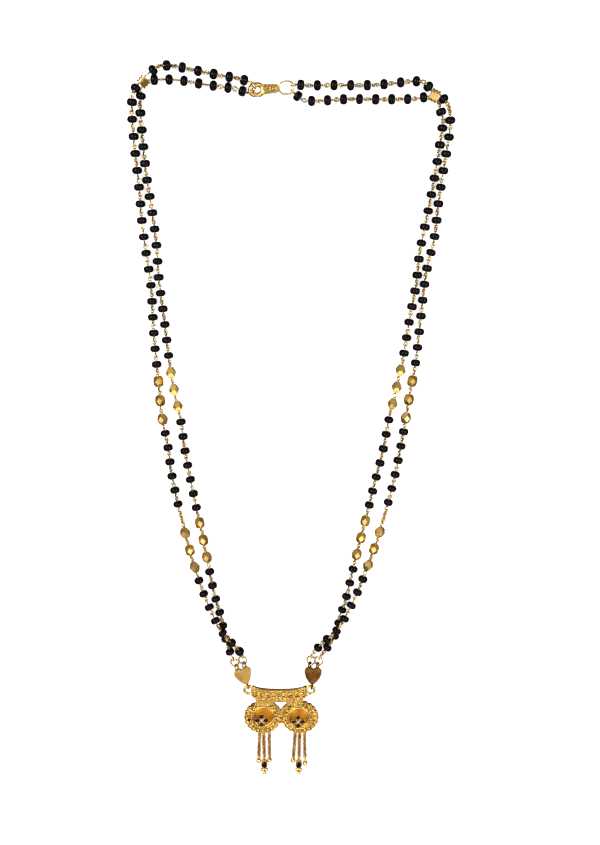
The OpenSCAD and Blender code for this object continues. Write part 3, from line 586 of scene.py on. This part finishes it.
# the gold materials below that darken crevices do it with painted shade from ambient occlusion, towards their
# dark colour
CLASP_GOLD = gold("clasp_gold", (0.77, 0.54, 0.19), (0.56, 0.35, 0.10), rough=(0.2, 0.36), crevice_shade=0.25)
BALL_GOLD = gold(
    "ball_gold", (0.92, 0.68, 0.27), (0.74, 0.48, 0.14), rough=(0.14, 0.28), grain=0.06, crevice_shade=0.3
)
RING_GOLD = gold(
    "ring_gold", (0.78, 0.50, 0.11), (0.52, 0.30, 0.05), rough=(0.14, 0.28), grain=0.06, crevice_shade=0.25
)
PENDANT_DETAIL = gold("pendant_detail", BRIGHT, DEEP, WARM_CREVICE_SHADE, rough=(0.16, 0.3), crevice_shade=0.35)
GRAIN_GOLD = gold(
    "grain_gold",
    (0.93, 0.66, 0.22),
    (0.80, 0.50, 0.13),
    WARM_CREVICE_SHADE,
    rough=(0.16, 0.3),
    grain=0.1,
    crevice_shade=0.35,
)
DROP_GOLD = gold(
    "drop_gold",
    (0.84, 0.55, 0.16),
    (0.58, 0.32, 0.07),
    (0.10, 0.035, 0.006),
    rough=(0.14, 0.28),
    grain=0.1,
    crevice_shade=0.4,
)
CHAIN_GOLD = gold(
    "chain_gold",
    (0.88, 0.58, 0.20),
    (0.40, 0.17, 0.04),
    (0.08, 0.025, 0.005),
    rough=(0.14, 0.28),
    grain=0.1,
    crevice_shade=0.4,
    patches=1300,
)
PALE_GOLD = gold("pale_gold", (0.49, 0.32, 0.088), (0.37, 0.225, 0.048), rough=(0.46, 0.6), grain=0.2)
DARK_GOLD = gold(
    "dark_gold", (0.22, 0.098, 0.022), (0.078, 0.027, 0.004), rough=(0.4, 0.52), grain=0.15, patches=1500
)
SILVER = gold(
    "flower_silver",
    (0.72, 0.68, 0.58),
    (0.52, 0.47, 0.36),
    (0.2, 0.17, 0.12),
    rough=(0.2, 0.34),
    grain=0.06,
    crevice_shade=0.3,
)
RED_ENAMEL = enamel("red_enamel", (0.010, 0.0008, 0.002), (0.036, 0.002, 0.006))
GREEN_ENAMEL = enamel("green_enamel", (0.0008, 0.004, 0.002), (0.002, 0.013, 0.008))
RED_STONE = enamel("red_stone", (0.012, 0.001, 0.002), (0.05, 0.003, 0.007))
DARK_STONE = enamel("dark_stone", (0.002, 0.002, 0.003), (0.010, 0.007, 0.009))

# a CAD node's look: by its whole name, or else by the first of these words in it
LOOK_OF_NODE = {
    "clasp": CLASP_GOLD,
    "pendant": PENDANT_GOLD,
    "left_heart": PALE_GOLD,
    "right_heart": DARK_GOLD,
    "red_enamel": RED_ENAMEL,
    "green_enamel": GREEN_ENAMEL,
    "left_stone": RED_STONE,
    "right_stone": DARK_STONE,
}
LOOK_OF_WORD = {
    "gold": GOLD_BEAD,
    "beads": BLACK_GLASS,
    "thread": LINKED_WIRE,
    "ring": RING_GOLD,
    "collar": CLASP_GOLD,
    "chain": DROP_GOLD,
    "ball": BALL_GOLD,
    "setting": BALL_GOLD,
}


def paint_nodes():
    """Every CAD node's material."""
    for name, node in NODES.items():
        look = LOOK_OF_NODE.get(name)
        if look is None:
            look = next(found for word, found in LOOK_OF_WORD.items() if word in name)
        for slot in node.material_slots:
            slot.material = look
        if not node.material_slots:
            node.data.materials.append(look)


# Beads and linked wire

BEAD_D, BEAD_LEN, BEAD_BORE_R = 3.0, 2.1, 0.52
GOLD_LEN = 3.3
HALF_LEN = {"black": BEAD_LEN / 2, "gold": GOLD_LEN / 2}
BEAD_ROUND, BEAD_PROFILE = 28, 15
# a bead's hole is BEAD_LIP narrower behind its mouths, over the share BEAD_THROAT of its length
BEAD_LIP, BEAD_THROAT = 0.05, 0.9
# how much glass beads differ: the shares that they are narrower, shorter or out of round by, and
# the power of their section's outline, which is round at 2 and squarer above
BEAD_NARROWER, BEAD_SHORTER, BEAD_OVAL = 0.015, 0.05, 0.012
BEAD_SQUARE = (2.0, 2.7)
# a span has about one loop to each LINK_STEP of its length
LINK_WIRE, LINK_PLAY = 0.47, 0.06
LINK_STEP = 1.25
LINK_W = 1.47
# the loops start this far from a bead, and below this length there is only plain wire
NECK = 0.12
PLAIN_SPAN = 1.6
PIN_R, PIN_TINT, PIN_OVERLAP = 0.24, 0.4, 0.3
# the loops of most spans lean to this and that side by turns, those of the others lie flat and stand
# upright by turns; in degrees
LEANING_SHARE = 0.6
LEAN, LEAN_PLAY, UPRIGHT_PLAY, LOOP_PLAY = 45, 14, 16, 7
YELLOW_TINTS, TINT_POWER = (0.4, 0.6), 1.3
# the first bead past a collar starts less than COLLAR_NEAR from its end, and at most COLLAR_SLIP before it
COLLAR_NEAR, COLLAR_SLIP = 5, 0.6
COLLAR_OVERLAP = 0.2


def bead_profile(square, tall):
    """A bead's section beside its axis, over the outside and back through the hole: (radius, height)."""
    half = HALF_LEN["black"]
    arc_share = 0.97
    profile = []
    for i in range(BEAD_PROFILE):
        a = (math.pi * i / (BEAD_PROFILE - 1) - math.pi / 2) * arc_share
        rad = BEAD_D / 2 - half + half * math.cos(a) ** square
        height = half * math.copysign(abs(math.sin(a)) ** square, a) * tall
        profile.append((max(rad, BEAD_BORE_R), height))
    inside, throat = BEAD_BORE_R - BEAD_LIP, half * BEAD_THROAT
    return profile + [(inside, throat), (inside, -throat)]


def glass_bead(soup, mid, way, rng):
    """A fat glass ring, a little uneven, with a drilled hole."""
    side = unit(np.cross(way, UP))
    across = np.cross(way, side)
    fat = 1 + rng.uniform(-BEAD_NARROWER, 0.0)
    tall = 1 + rng.uniform(-BEAD_SHORTER, 0.0)
    lean = math.radians(rng.uniform(0, 360))
    square = 2 / rng.uniform(*BEAD_SQUARE)
    rows = []
    for rad, height in bead_profile(square, tall):
        row = []
        for j in range(BEAD_ROUND):
            b = 2 * math.pi * j / BEAD_ROUND
            uneven = 1 + BEAD_OVAL * math.cos(2 * (b - lean))
            out = (side * math.cos(b) + across * math.sin(b)) * rad * fat * uneven
            row.append(mid + way * height + out)
        rows.append(row)
    soup.grid(rows, wrap_rows=True, tint=rng.random())


def pin(soup, path, tint):
    """A straight or bent piece of plain wire."""
    tube(soup, path, PIN_R, tint=tint)


def span(soup, p0, t0, p1, t1, rng, by_gold=False):
    """What joins two beads: interlocked wire loops, or plain wire where they sit close.
    Next to a gold bead the loops are all yellow gold."""
    path = curve(p0, t0, p1, t1)
    far = run_of(path)
    whole = far[-1]
    if whole < PLAIN_SPAN:
        pin(soup, path, rng.random())
        return
    joint = 2 * LINK_WIRE + LINK_PLAY
    most = int((whole - 2 * NECK - joint) / (LINK_W - joint))
    n = max(1, min(round(whole / LINK_STEP), most))
    length = (whole - 2 * NECK + (n - 1) * joint) / n
    if by_gold or rng.random() < LEANING_SHARE:
        roll = LEAN + rng.uniform(-LEAN_PLAY, LEAN_PLAY)
    else:
        roll = rng.choice((0, 90)) + rng.uniform(-UPRIGHT_PLAY, UPRIGHT_PLAY)
    for j in range(n):
        mid, way = point_on(path, far, NECK + length / 2 + j * (length - joint))
        side = turned(unit(np.cross(way, UP)), way, roll + 90 * j + rng.uniform(-LOOP_PLAY, LOOP_PLAY))
        tint = rng.uniform(*YELLOW_TINTS) if by_gold else rng.random() ** TINT_POWER
        loop(soup, mid, way, side, length, min(LINK_W, length), LINK_WIRE, tint)
        if j == 0:
            near, _ = point_on(path, far, NECK + LINK_WIRE / 2)
            pin(soup, [p0 - t0 * PIN_OVERLAP, p0, near], tint)
        if j == n - 1:
            near, _ = point_on(path, far, whole - NECK - LINK_WIRE / 2)
            pin(soup, [near, p1, p1 + t1 * PIN_OVERLAP], tint)


def end_loop(soup, mid, turn, radius):
    """The upright eye at a strand's end."""
    size = 2 * radius + EYE_WIRE
    loop(soup, mid, heading(turn), UP, size, size, EYE_WIRE, steps=32, sides=10)


def build_strand(strand, rng):
    """A strand's glass beads, and its wire from the clasp through the collar to the jump ring."""
    glass, wire = Soup(), Soup()
    eye = start_eye(strand)
    end_loop(wire, eye, strand.start_turn, strand.start_r)
    enter, leave, along = collar_passes(strand.side)[strand.lane]
    way = leaves(strand.start_turn, strand.start_climb)
    at = eye + way * strand.start_r
    through = False
    before = "black"
    for kind, mid, hole in strand_beads(strand):
        half = HALF_LEN[kind]
        near = mid - hole * half
        past = np.linalg.norm(leave - near) < COLLAR_NEAR and np.dot(near - leave, along) > -COLLAR_SLIP
        if past and not through:
            span(wire, at, way, enter, along, rng)
            pin(wire, [enter - along * COLLAR_OVERLAP, leave + along * COLLAR_OVERLAP], PIN_TINT)
            at, way = leave, along
            through = True
        span(wire, at, way, near, hole, rng, by_gold="gold" in (kind, before))
        at, way = mid + hole * half, hole
        pin(wire, [near, at], PIN_TINT)
        if kind == "black":
            glass_bead(glass, mid, hole, rng)
        before = kind
    last = end_eye(strand)
    climb = leaves(strand.end_turn, END_CLIMB)
    span(wire, at, way, last + climb * END_R, -climb, rng)
    end_loop(wire, last, strand.end_turn, END_R)
    glass.build(strand.name + "_glass", BLACK_GLASS, "black_beads", stands_for=[strand.name + "_beads"])
    wire.build(strand.name + "_wire", LINKED_WIRE, "linked_wire", stands_for=[strand.name + "_thread"])


# Ornament on the cups

# UP and DOWN say how far an ornament's middle lies above or below the metal's top face
SCALLOP_WIRE_R, SCALLOP_WIRE, SCALLOP_SPREAD = 0.84, 0.3, 100
RIM_DOME_LEN, RIM_DOME_W, RIM_DOME_H, RIM_DOME_OUT = (1.25, 1.5), 0.76, (0.5, 0.66), 0.02
RIM_GRAIN_R, RIM_GRAIN_SHARE, RIM_UP = 0.26, 0.9, 0.02
# grains round a dish: how many, their radius and how much it varies, and how far outside the dish
INNER_GRAINS, INNER_GRAIN_R, INNER_PLAY, INNER_RING, INNER_UP = 36, 0.33, 0.03, 0.72, 0.1
PETAL_RIM_R, PETAL_MARGIN, PETAL_RIM_DOWN = 0.075, 0.16, 0.01
# a flower's silver middle, and the four grains in a ring round it
MIDDLE_R, MIDDLE_SQUASH, MIDDLE_DOWN = 0.46, 0.7, 0.02
MIDDLE_GRAIN_R, MIDDLE_RING, MIDDLE_GRAIN_DOWN = 0.23, 0.82, 0.04
# the small dark red enamel dots on the cups' rims: X, Y and height
RIM_DOTS = (
    (-13.0, -86.15, 1.35),
    (-14.1, -91.2, 1.4),
    (-6.75, -86.1, 1.35),
    (-0.7, -86.2, 1.35),
    (1.9, -85.6, 1.3),
)
RIM_DOT_R, RIM_DOT_SQUASH = 0.42, 0.6


def arc_wire(soup, mid, radius, start, end, height, wire, steps=14):
    """An arc of wire round mid from one angle to another, seen from above."""
    angles = (start + (end - start) * i / steps for i in range(steps + 1))
    path = [mid + heading(a) * radius + UP * height for a in angles]
    tube(soup, path, wire / 2, sides=6)


def dress_cup(i, rng):
    """Scallop wires and domes on the rim, grains between them and round the dish."""
    rim, grains = Soup(), Soup()
    rx, ry = CUP_HALF
    for j in range(SCALLOPS):
        a = 2 * math.pi * j / SCALLOPS
        off = vec((rx - SCALLOP_R) * math.cos(a), (ry - SCALLOP_R) * math.sin(a), 0)
        mid, out = CUPS[i] + off, unit(off)
        turn = math.degrees(math.atan2(out[1], out[0]))
        start, end = turn - SCALLOP_SPREAD, turn + SCALLOP_SPREAD
        arc_wire(rim, mid, SCALLOP_WIRE_R, start, end, PLATE_TOP + RIM_UP, SCALLOP_WIRE)
        foot = mid + out * RIM_DOME_OUT + UP * PLATE_TOP
        dome(rim, foot, out, rng.uniform(*RIM_DOME_LEN), RIM_DOME_W, rng.uniform(*RIM_DOME_H))
        b = a + math.pi / SCALLOPS
        between = vec(rx * math.cos(b), ry * math.sin(b), 0) * RIM_GRAIN_SHARE
        ball(grains, CUPS[i] + between + UP * (PLATE_TOP + RIM_UP), RIM_GRAIN_R, steps=7)
    for j in range(INNER_GRAINS):
        p = DISHES[i] + heading(360 * j / INNER_GRAINS) * (DISH_R + INNER_RING)
        r = INNER_GRAIN_R + rng.uniform(-INNER_PLAY, INNER_PLAY)
        ball(grains, p + UP * (PLATE_TOP + INNER_UP), r, steps=7)
    rim.build(SIDES[i] + "_cup_filigree", PENDANT_DETAIL, "pendant_gold")
    grains.build(SIDES[i] + "_cup_grains", GRAIN_GOLD, "pendant_gold")


def petal_outline(width, length, steps=9):
    """The rounded outline of a petal, its long way along Y."""
    r = width / 2
    straight = (length - width) / 2
    ends = []
    for sign in (1, -1):
        for a in np.linspace(0, math.pi, steps):
            ends.append((sign * r * math.cos(a), sign * (straight + r * math.sin(a))))
    return ends


def dress_flower(i):
    """A rim round each enamel petal, and the silver middle."""
    rims, heart = Soup(), Soup()
    mid = FLOWERS[i]
    outline = petal_outline(PETAL_W + PETAL_MARGIN, PETAL_LEN + PETAL_MARGIN)
    top = UP * (FLOWER_TOP - PETAL_RIM_DOWN)
    for q in range(4):
        path = [mid + turned(vec(x, y + PETAL_R, 0), UP, q * 90) + top for x, y in outline]
        tube(rims, path, PETAL_RIM_R, sides=6, closed=True)
    ball(heart, mid + UP * (FLOWER_TOP - MIDDLE_DOWN), MIDDLE_R, squash=MIDDLE_SQUASH)
    for q in range(4):
        p = mid + heading(45 + 90 * q) * MIDDLE_RING
        ball(heart, p + UP * (FLOWER_TOP - MIDDLE_GRAIN_DOWN), MIDDLE_GRAIN_R, steps=7)
    rims.build(SIDES[i] + "_petal_rims", PENDANT_DETAIL, "pendant_gold")
    heart.build(SIDES[i] + "_flower_heart", SILVER, "pendant_gold")


def rim_dots():
    dots = Soup()
    for x, y, height in RIM_DOTS:
        ball(dots, vec(x, y, height), RIM_DOT_R, squash=RIM_DOT_SQUASH)
    dots.build("rim_enamel_dots", RED_ENAMEL, "red_enamel")


# Ornament on the pendant's bar

# the bar's outline, a row for each corner of its right half: shares of half width and of height
BAR_TOP_LINE = ((0, 0.5), (0.35, 0.52), (0.6, 0.6), (0.76, 0.7), (0.86, 0.84))
BAR_END_LINE = ((0.87, 0.3), (0.89, 0.08), (0.76, -0.16))
# wires along the bar's upper edge: their heights, their radius, and how far they stand out
EDGE_WIRES, EDGE_WIRE_R, EDGE_OUT = (0.42, 1.05), 0.36, 0.1
# rows of grains along the bar's edges: how far they lie left of their line, their step, their radius,
# and how far below the bar's top their middles are
GrainRow = namedtuple("GrainRow", "left step radius down")
TOP_ROW = GrainRow(-0.08, 0.68, 0.33, 0.12)
END_ROW = GrainRow(0.16, 0.62, 0.29, 0.05)
# the bar's scrolls and leaves rise with its ends: where that starts, and rise per share of half width
ARCH_START, ARCH_SLOPE = 0.4, 0.3
# scrolls on the right half: share of half width, the angle they start at, size
SCROLL_ROWS = ((0.14, 200, 0.95), (0.36, 20, 1.05), (0.58, 200, 1.0), (0.76, 60, 0.85))
BAR_SCROLL_LOW, BAR_SCROLL_TURNS, BAR_SCROLL_UP, BAR_SCROLL_WIRE = 0.02, 1.25, 0.12, 0.42
# pointed leaves between the scrolls, each with a grain on it
LEAF_SHARES, LEAF_LOW, LEAF_UP = (0.25, 0.47, 0.68), 0.05, 0.1
LEAF_W, LEAF_LEN, LEAF_TURN, LEAF_WIRE_R = 0.62, 1.7, 35, 0.16
LEAF_GRAIN_R, LEAF_GRAIN_UP = 0.3, 0.05
# a rosette in the bar's middle: eight grains in a ring, and a boss
ROSETTE_R, ROSETTE_UP, ROSETTE_GRAIN_R = 0.62, 0.12, 0.26
BOSS_R, BOSS_UP = 0.4, 0.2
# grains sown on the bar's lower part: tries, shares of half width and of height, least distance,
# radius, and the opening that they leave free
SOWN_TRIES, SOWN_X, SOWN_Y = 900, (-0.72, 0.72), (-0.82, -0.12)
SOWN_APART, SOWN_R, SOWN_DOWN = 0.56, (0.22, 0.31), 0.02
WINDOW_X, WINDOW_HALF, WINDOW_TOP = -3.84, 2.5, -84.6
# a scroll: points in a turn, how fast it closes, radius and rise of its inner end, taper of its wire,
# and its grain, as a share of the wire
SCROLL_POINTS, SCROLL_POWER, SCROLL_EYE_R, SCROLL_RISE, SCROLL_TAPER = 26, 0.8, 0.16, 0.1, 0.3
SCROLL_GRAIN, SCROLL_GRAIN_UP = 0.62, 0.04


def scroll(soup, mid, size, turns, facing, height, wire, flip=1):
    """A flat spiral of tapering wire with a grain at its end."""
    steps = int(SCROLL_POINTS * turns)
    path, radii = [], []
    for i in range(steps + 1):
        t = i / steps
        r = size * (1 - t) ** SCROLL_POWER + SCROLL_EYE_R
        a = math.radians(facing) + flip * 2 * math.pi * turns * t
        path.append(mid + vec(r * math.cos(a), r * math.sin(a), height + SCROLL_RISE * t))
        radii.append(wire / 2 * (1 - SCROLL_TAPER * t))
    tube(soup, path, np.array(radii), sides=6)
    ball(soup, path[-1] + UP * SCROLL_GRAIN_UP, wire * SCROLL_GRAIN, steps=6)


def bar_point(share_x, share_y, height=0.0):
    return BAR_MID + vec(share_x * BAR_W / 2, share_y * BAR_H, height)


def arched(share_x, low):
    """How high the scrolls and leaves sit, as a share of the bar's height: it curves up to its ends."""
    return low + ARCH_SLOPE * max(share_x - ARCH_START, 0)


def grain_row(soup, corners, row, side=1):
    """Balls at even steps beside a line of corners of the bar; side -1 swaps left and right."""
    path = np.array([bar_point(x, y) for x, y in corners])
    far = run_of(path)
    n = max(2, int(far[-1] / row.step))
    for j in range(n + 1):
        p, way = point_on(path, far, far[-1] * j / n)
        beside = np.cross(UP, way) * (row.left * side)
        ball(soup, p + beside + UP * (BAR_TOP - row.down), row.radius, steps=7)


def sow_grains(soup, rng):
    """Grains on the bar's lower part and on the web above the cups."""
    sown = []
    for _ in range(SOWN_TRIES):
        p = bar_point(rng.uniform(*SOWN_X), rng.uniform(*SOWN_Y))
        in_window = abs(p[0] - WINDOW_X) < WINDOW_HALF and p[1] < WINDOW_TOP
        if in_window or any(np.linalg.norm(p - q) < SOWN_APART for q in sown):
            continue
        if any(np.linalg.norm((p - c)[:2] / np.array(CUP_HALF)) < 1.0 for c in CUPS):
            continue
        sown.append(p)
        ball(soup, p + UP * (BAR_TOP - SOWN_DOWN), rng.uniform(*SOWN_R), steps=6)


def dress_bar(rng):
    """Edge wires and grains round the bar, scrolls, leaves and a rosette on it."""
    scrolls, grains = Soup(), Soup()
    top = [(-x, y) for x, y in BAR_TOP_LINE[::-1]] + list(BAR_TOP_LINE[1:])
    grain_row(grains, top, TOP_ROW)
    for height in EDGE_WIRES:
        tube(scrolls, [bar_point(x, y, height) + vec(0, EDGE_OUT, 0) for x, y in top], EDGE_WIRE_R)
    for s in (-1, 1):
        grain_row(grains, [(s * x, y) for x, y in BAR_END_LINE], END_ROW, s)
        for share, facing, size in SCROLL_ROWS:
            mid = bar_point(s * share, arched(share, BAR_SCROLL_LOW))
            turn = facing if s > 0 else 180 - facing
            height = BAR_TOP + BAR_SCROLL_UP
            scroll(scrolls, mid, size, BAR_SCROLL_TURNS, turn, height, BAR_SCROLL_WIRE, flip=s)
        for share in LEAF_SHARES:
            mid = bar_point(s * share, arched(share, LEAF_LOW), BAR_TOP + LEAF_UP)
            leaf = [mid + turned(vec(x, y, 0), UP, s * LEAF_TURN) for x, y in leaf_path(LEAF_W, LEAF_LEN)]
            tube(scrolls, leaf, LEAF_WIRE_R, sides=6, closed=True)
            ball(grains, mid + UP * LEAF_GRAIN_UP, LEAF_GRAIN_R, steps=7)
    for a in range(0, 360, 45):
        p = BAR_MID + heading(a) * ROSETTE_R
        ball(grains, p + UP * (BAR_TOP + ROSETTE_UP), ROSETTE_GRAIN_R, steps=7)
    ball(grains, BAR_MID + UP * (BAR_TOP + BOSS_UP), BOSS_R)
    sow_grains(grains, rng)
    scrolls.build("bar_scrolls", PENDANT_DETAIL, "pendant_gold")
    grains.build("bar_grains", GRAIN_GOLD, "pendant_gold")


# Chains and settings

FINE_WIRE, FINE_LINKS, FINE_W, FINE_ROLL = 0.36, 10, 1.48, 37
# from a solid link's middle to the end of its hole, where the eye or the loop sits
HOLE_REACH = 0.62
SETTING_W, SETTING_LEN, SETTING_TOP = 2.05, 3.6, 1.15
SETTING_RIM_R, RIM_NARROWER, RIM_SHORTER = 0.15, 0.24, 0.4


def fine_chain(name):
    """A chain of finer links than the solids have, from the same eye to the same loop."""
    links = Soup()
    mids = [s.middle for s in solids(name)]
    first = max(mids, key=lambda p: p[1])
    last = min(mids, key=lambda p: p[1])
    way = unit(last - first)
    reach = HOLE_REACH + FINE_WIRE
    start, whole = first - way * reach, np.linalg.norm(last - first) + 2 * reach
    joint = 2 * FINE_WIRE + LINK_PLAY
    length = (whole + (FINE_LINKS - 1) * joint) / FINE_LINKS
    level = unit(np.cross(way, UP))
    for j in range(FINE_LINKS):
        mid = start + way * (length / 2 + j * (length - joint))
        side = turned(level, way, FINE_ROLL if j % 2 == 0 else -FINE_ROLL)
        loop(links, mid, way, side, length, FINE_W, FINE_WIRE, steps=20, sides=7)
    links.build(name + "_links", CHAIN_GOLD, "ring_wire", stands_for=[name])


def setting_rim(side):
    """A bright rim wire on the pointed oval setting, turned as its chain hangs."""
    rim = Soup()
    stone = solids(side + "_stone")[0].middle
    drop = stone - solids(side + "_chain_b")[0].middle
    turn = math.degrees(math.atan2(drop[0], -drop[1]))
    mid = vec(stone[0], stone[1], SETTING_TOP)
    outline = leaf_path(SETTING_W - RIM_NARROWER, SETTING_LEN - RIM_SHORTER)
    tube(rim, [mid + turned(vec(x, y, 0), UP, turn) for x, y in outline], SETTING_RIM_R, closed=True)
    rim.build(side + "_setting_rim", BALL_GOLD, "drop_gold")


# Ornament on the clasp

RIBS, RIB_WIRE, RIB_PROUD = 22, 0.26, 0.16
# on the shank's side, ribs stay only where the sine of their angle round the eye is at least this
RIB_CLEAR = 0.75
# the shank's top face above the clasp's middle, and an edge's two ends: along the clasp, and aside
SHANK_TOP = 0.55
SHANK_START, SHANK_END, SHANK_WIRE_R = (2.3, 1.22), (5.7, 0.98), 0.16
EDGE_GRAINS, EDGE_GRAIN_R, EDGE_GRAIN_UP = 7, 0.24, 0.08
# rows along the shank: how many, where the first one sits, and the step to the next
SHANK_SCROLLS, SHANK_SCROLL_X, SHANK_SCROLL_STEP, SHANK_SCROLL_ASIDE = 4, 2.25, 0.95, 0.12
SHANK_SCROLL_SIZE, SHANK_SCROLL_TURNS, SHANK_SCROLL_UP, SHANK_SCROLL_WIRE = 0.62, 1.2, 0.06, 0.3
SHANK_GRAINS, SHANK_GRAIN_X, SHANK_GRAIN_STEP = 5, 1.9, 0.9
SHANK_GRAIN_R, SHANK_GRAIN_UP = 0.2, 0.08


def clasp_ribs():
    """Wire ribs round the bar of the clasp's eye."""
    ribs = Soup()
    size = EYE_BAR + RIB_PROUD
    for j in range(RIBS):
        a = 2 * math.pi * j / RIBS
        shift = EYE_HALF if math.cos(a) > 0 else -EYE_HALF
        if shift > 0 and abs(math.sin(a)) < RIB_CLEAR:
            continue
        mid = on_clasp(shift + EYE_ARC * math.cos(a), EYE_ARC * math.sin(a))
        out = unit(mid - on_clasp(shift, 0))
        loop(ribs, mid, out, UP, size, size, RIB_WIRE, steps=18, sides=6)
    ribs.build("clasp_ribs", CLASP_GOLD, "clasp_metal")


def clasp_filigree():
    """Edge wires with grains, scrolls and a middle row of grains on the shank."""
    work = Soup()
    for s in (-1, 1):
        p0, p1 = (on_clasp(x, s * y, SHANK_TOP) for x, y in (SHANK_START, SHANK_END))
        tube(work, [p0, (p0 + p1) / 2, p1], SHANK_WIRE_R, sides=6)
        for j in range(EDGE_GRAINS):
            p = p0 + (p1 - p0) * j / (EDGE_GRAINS - 1)
            ball(work, p + UP * EDGE_GRAIN_UP, EDGE_GRAIN_R, steps=7)
    for j in range(SHANK_SCROLLS):
        flip = (-1) ** j
        mid = on_clasp(SHANK_SCROLL_X + SHANK_SCROLL_STEP * j, SHANK_SCROLL_ASIDE * flip)
        height = SHANK_TOP + SHANK_SCROLL_UP
        scroll(work, mid, SHANK_SCROLL_SIZE, SHANK_SCROLL_TURNS, 90 * j, height, SHANK_SCROLL_WIRE, flip=flip)
    for j in range(SHANK_GRAINS):
        p = on_clasp(SHANK_GRAIN_X + SHANK_GRAIN_STEP * j, 0, SHANK_TOP + SHANK_GRAIN_UP)
        ball(work, p, SHANK_GRAIN_R, steps=6)
    work.build("clasp_filigree", CLASP_GOLD, "clasp_metal")


# Everything that the object is made of

paint_nodes()
rng = random.Random(7)
for strand in STRANDS:
    build_strand(strand, rng)
for i in (0, 1):
    dress_cup(i, rng)
    dress_flower(i)
dress_bar(rng)
rim_dots()
clasp_ribs()
clasp_filigree()
for side in SIDES:
    for place in "abc":
        fine_chain(side + "_chain_" + place)
    setting_rim(side)

# Floor, light and camera, in metres

FLOOR_REACH = 4.0
FLOOR_DROP = 0.00002
FLOOR_GLOW = 0.78

Lamp = namedtuple("Lamp", "name at target size watts colour")
LAMPS = (
    Lamp("key", (-0.34, 0.16, 0.52), (0, 0, 0), (0.40, 0.11), 3.4, (1, 1, 1)),
    Lamp("fill", (0.40, 0.05, 0.50), (0, 0, 0), (0.40, 0.10), 2.4, (1, 1, 1)),
    Lamp("card", (0, -0.20, 0.50), (0, -0.035, 0), (0.30, 0.12), 0.24, (1, 1, 1)),
    Lamp("low", (0.05, -0.45, 0.30), (0, -0.05, 0), (0.30, 0.10), 0.6, (1, 0.97, 0.92)),
)

CAMERA_AT = (0.0024, 0.0706, 0.2983)
CAMERA_TILT = -12
CAMERA_LENS, CAMERA_SENSOR = 42.6, 36
CAMERA_CLIP = 0.01


def make_floor():
    """A plain white floor that the metal doesn't mirror, with a faint light of its own."""
    mesh = bpy.data.meshes.new("floor")
    r = FLOOR_REACH
    mesh.from_pydata([(-r, -r, 0), (r, -r, 0), (r, r, 0), (-r, r, 0)], [], [(0, 1, 2, 3)])
    g = material("floor_white")
    white = g.ramp(g.noise(3.0, detail=2.0), (0.3, (0.90, 0.90, 0.90)), (0.7, (0.93, 0.93, 0.93)))
    g.set(colour=white, rough=0.9)
    g.give(g.shader.inputs["Emission Color"], white)
    g.give(g.shader.inputs["Emission Strength"], FLOOR_GLOW)
    mesh.materials.append(g.owner)
    floor = bpy.data.objects.new("floor", mesh)
    floor.location.z = -FLOOR_DROP
    floor.visible_glossy = False
    bpy.context.scene.collection.objects.link(floor)


def area_light(lamp):
    data = bpy.data.lights.new(lamp.name, "AREA")
    data.shape = "RECTANGLE"
    data.size, data.size_y = lamp.size
    data.energy = lamp.watts
    data.color = lamp.colour
    light = bpy.data.objects.new(lamp.name, data)
    light.location = lamp.at
    light.rotation_euler = (Vector(lamp.target) - Vector(lamp.at)).to_track_quat("-Z", "Y").to_euler()
    bpy.context.scene.collection.objects.link(light)


def make_world():
    """What the metal mirrors: cloudy soft light, warm and dim from below, even and brighter overhead."""
    world = bpy.data.worlds.new("studio")
    g = Graph(world, "Background")
    where = g.place("Generated")
    height = g.node("ShaderNodeSeparateXYZ", {"Vector": where}).outputs["Z"]
    cloud = g.noise(3.2, detail=2.0, roughness=0.5, where=where)
    sky = g.ramp(cloud, (0.38, (0.03, 0.028, 0.025)), (0.62, (0.62, 0.60, 0.57)))
    sky = g.mix(g.spread(height, 0.0, 1.0, start=-0.15, end=0.3), (0.20, 0.125, 0.055), sky)
    sky = g.mix(g.spread(height, 0.0, 0.65, start=0.7, end=0.97), sky, (0.66, 0.64, 0.60))
    g.give(g.shader.inputs["Color"], sky)
    g.give(g.shader.inputs["Strength"], 1.0)
    bpy.context.scene.world = world


def make_camera():
    data = bpy.data.cameras.new("camera")
    data.sensor_fit = "VERTICAL"
    data.sensor_height = CAMERA_SENSOR
    data.lens = CAMERA_LENS
    data.clip_start = CAMERA_CLIP
    camera = bpy.data.objects.new("camera", data)
    camera.location = CAMERA_AT
    camera.rotation_euler = (math.radians(CAMERA_TILT), 0, 0)
    bpy.context.scene.collection.objects.link(camera)
    bpy.context.scene.camera = camera


make_floor()
make_world()
for lamp in LAMPS:
    area_light(lamp)
make_camera()
bpy.context.scene.view_settings.view_transform = "Standard"
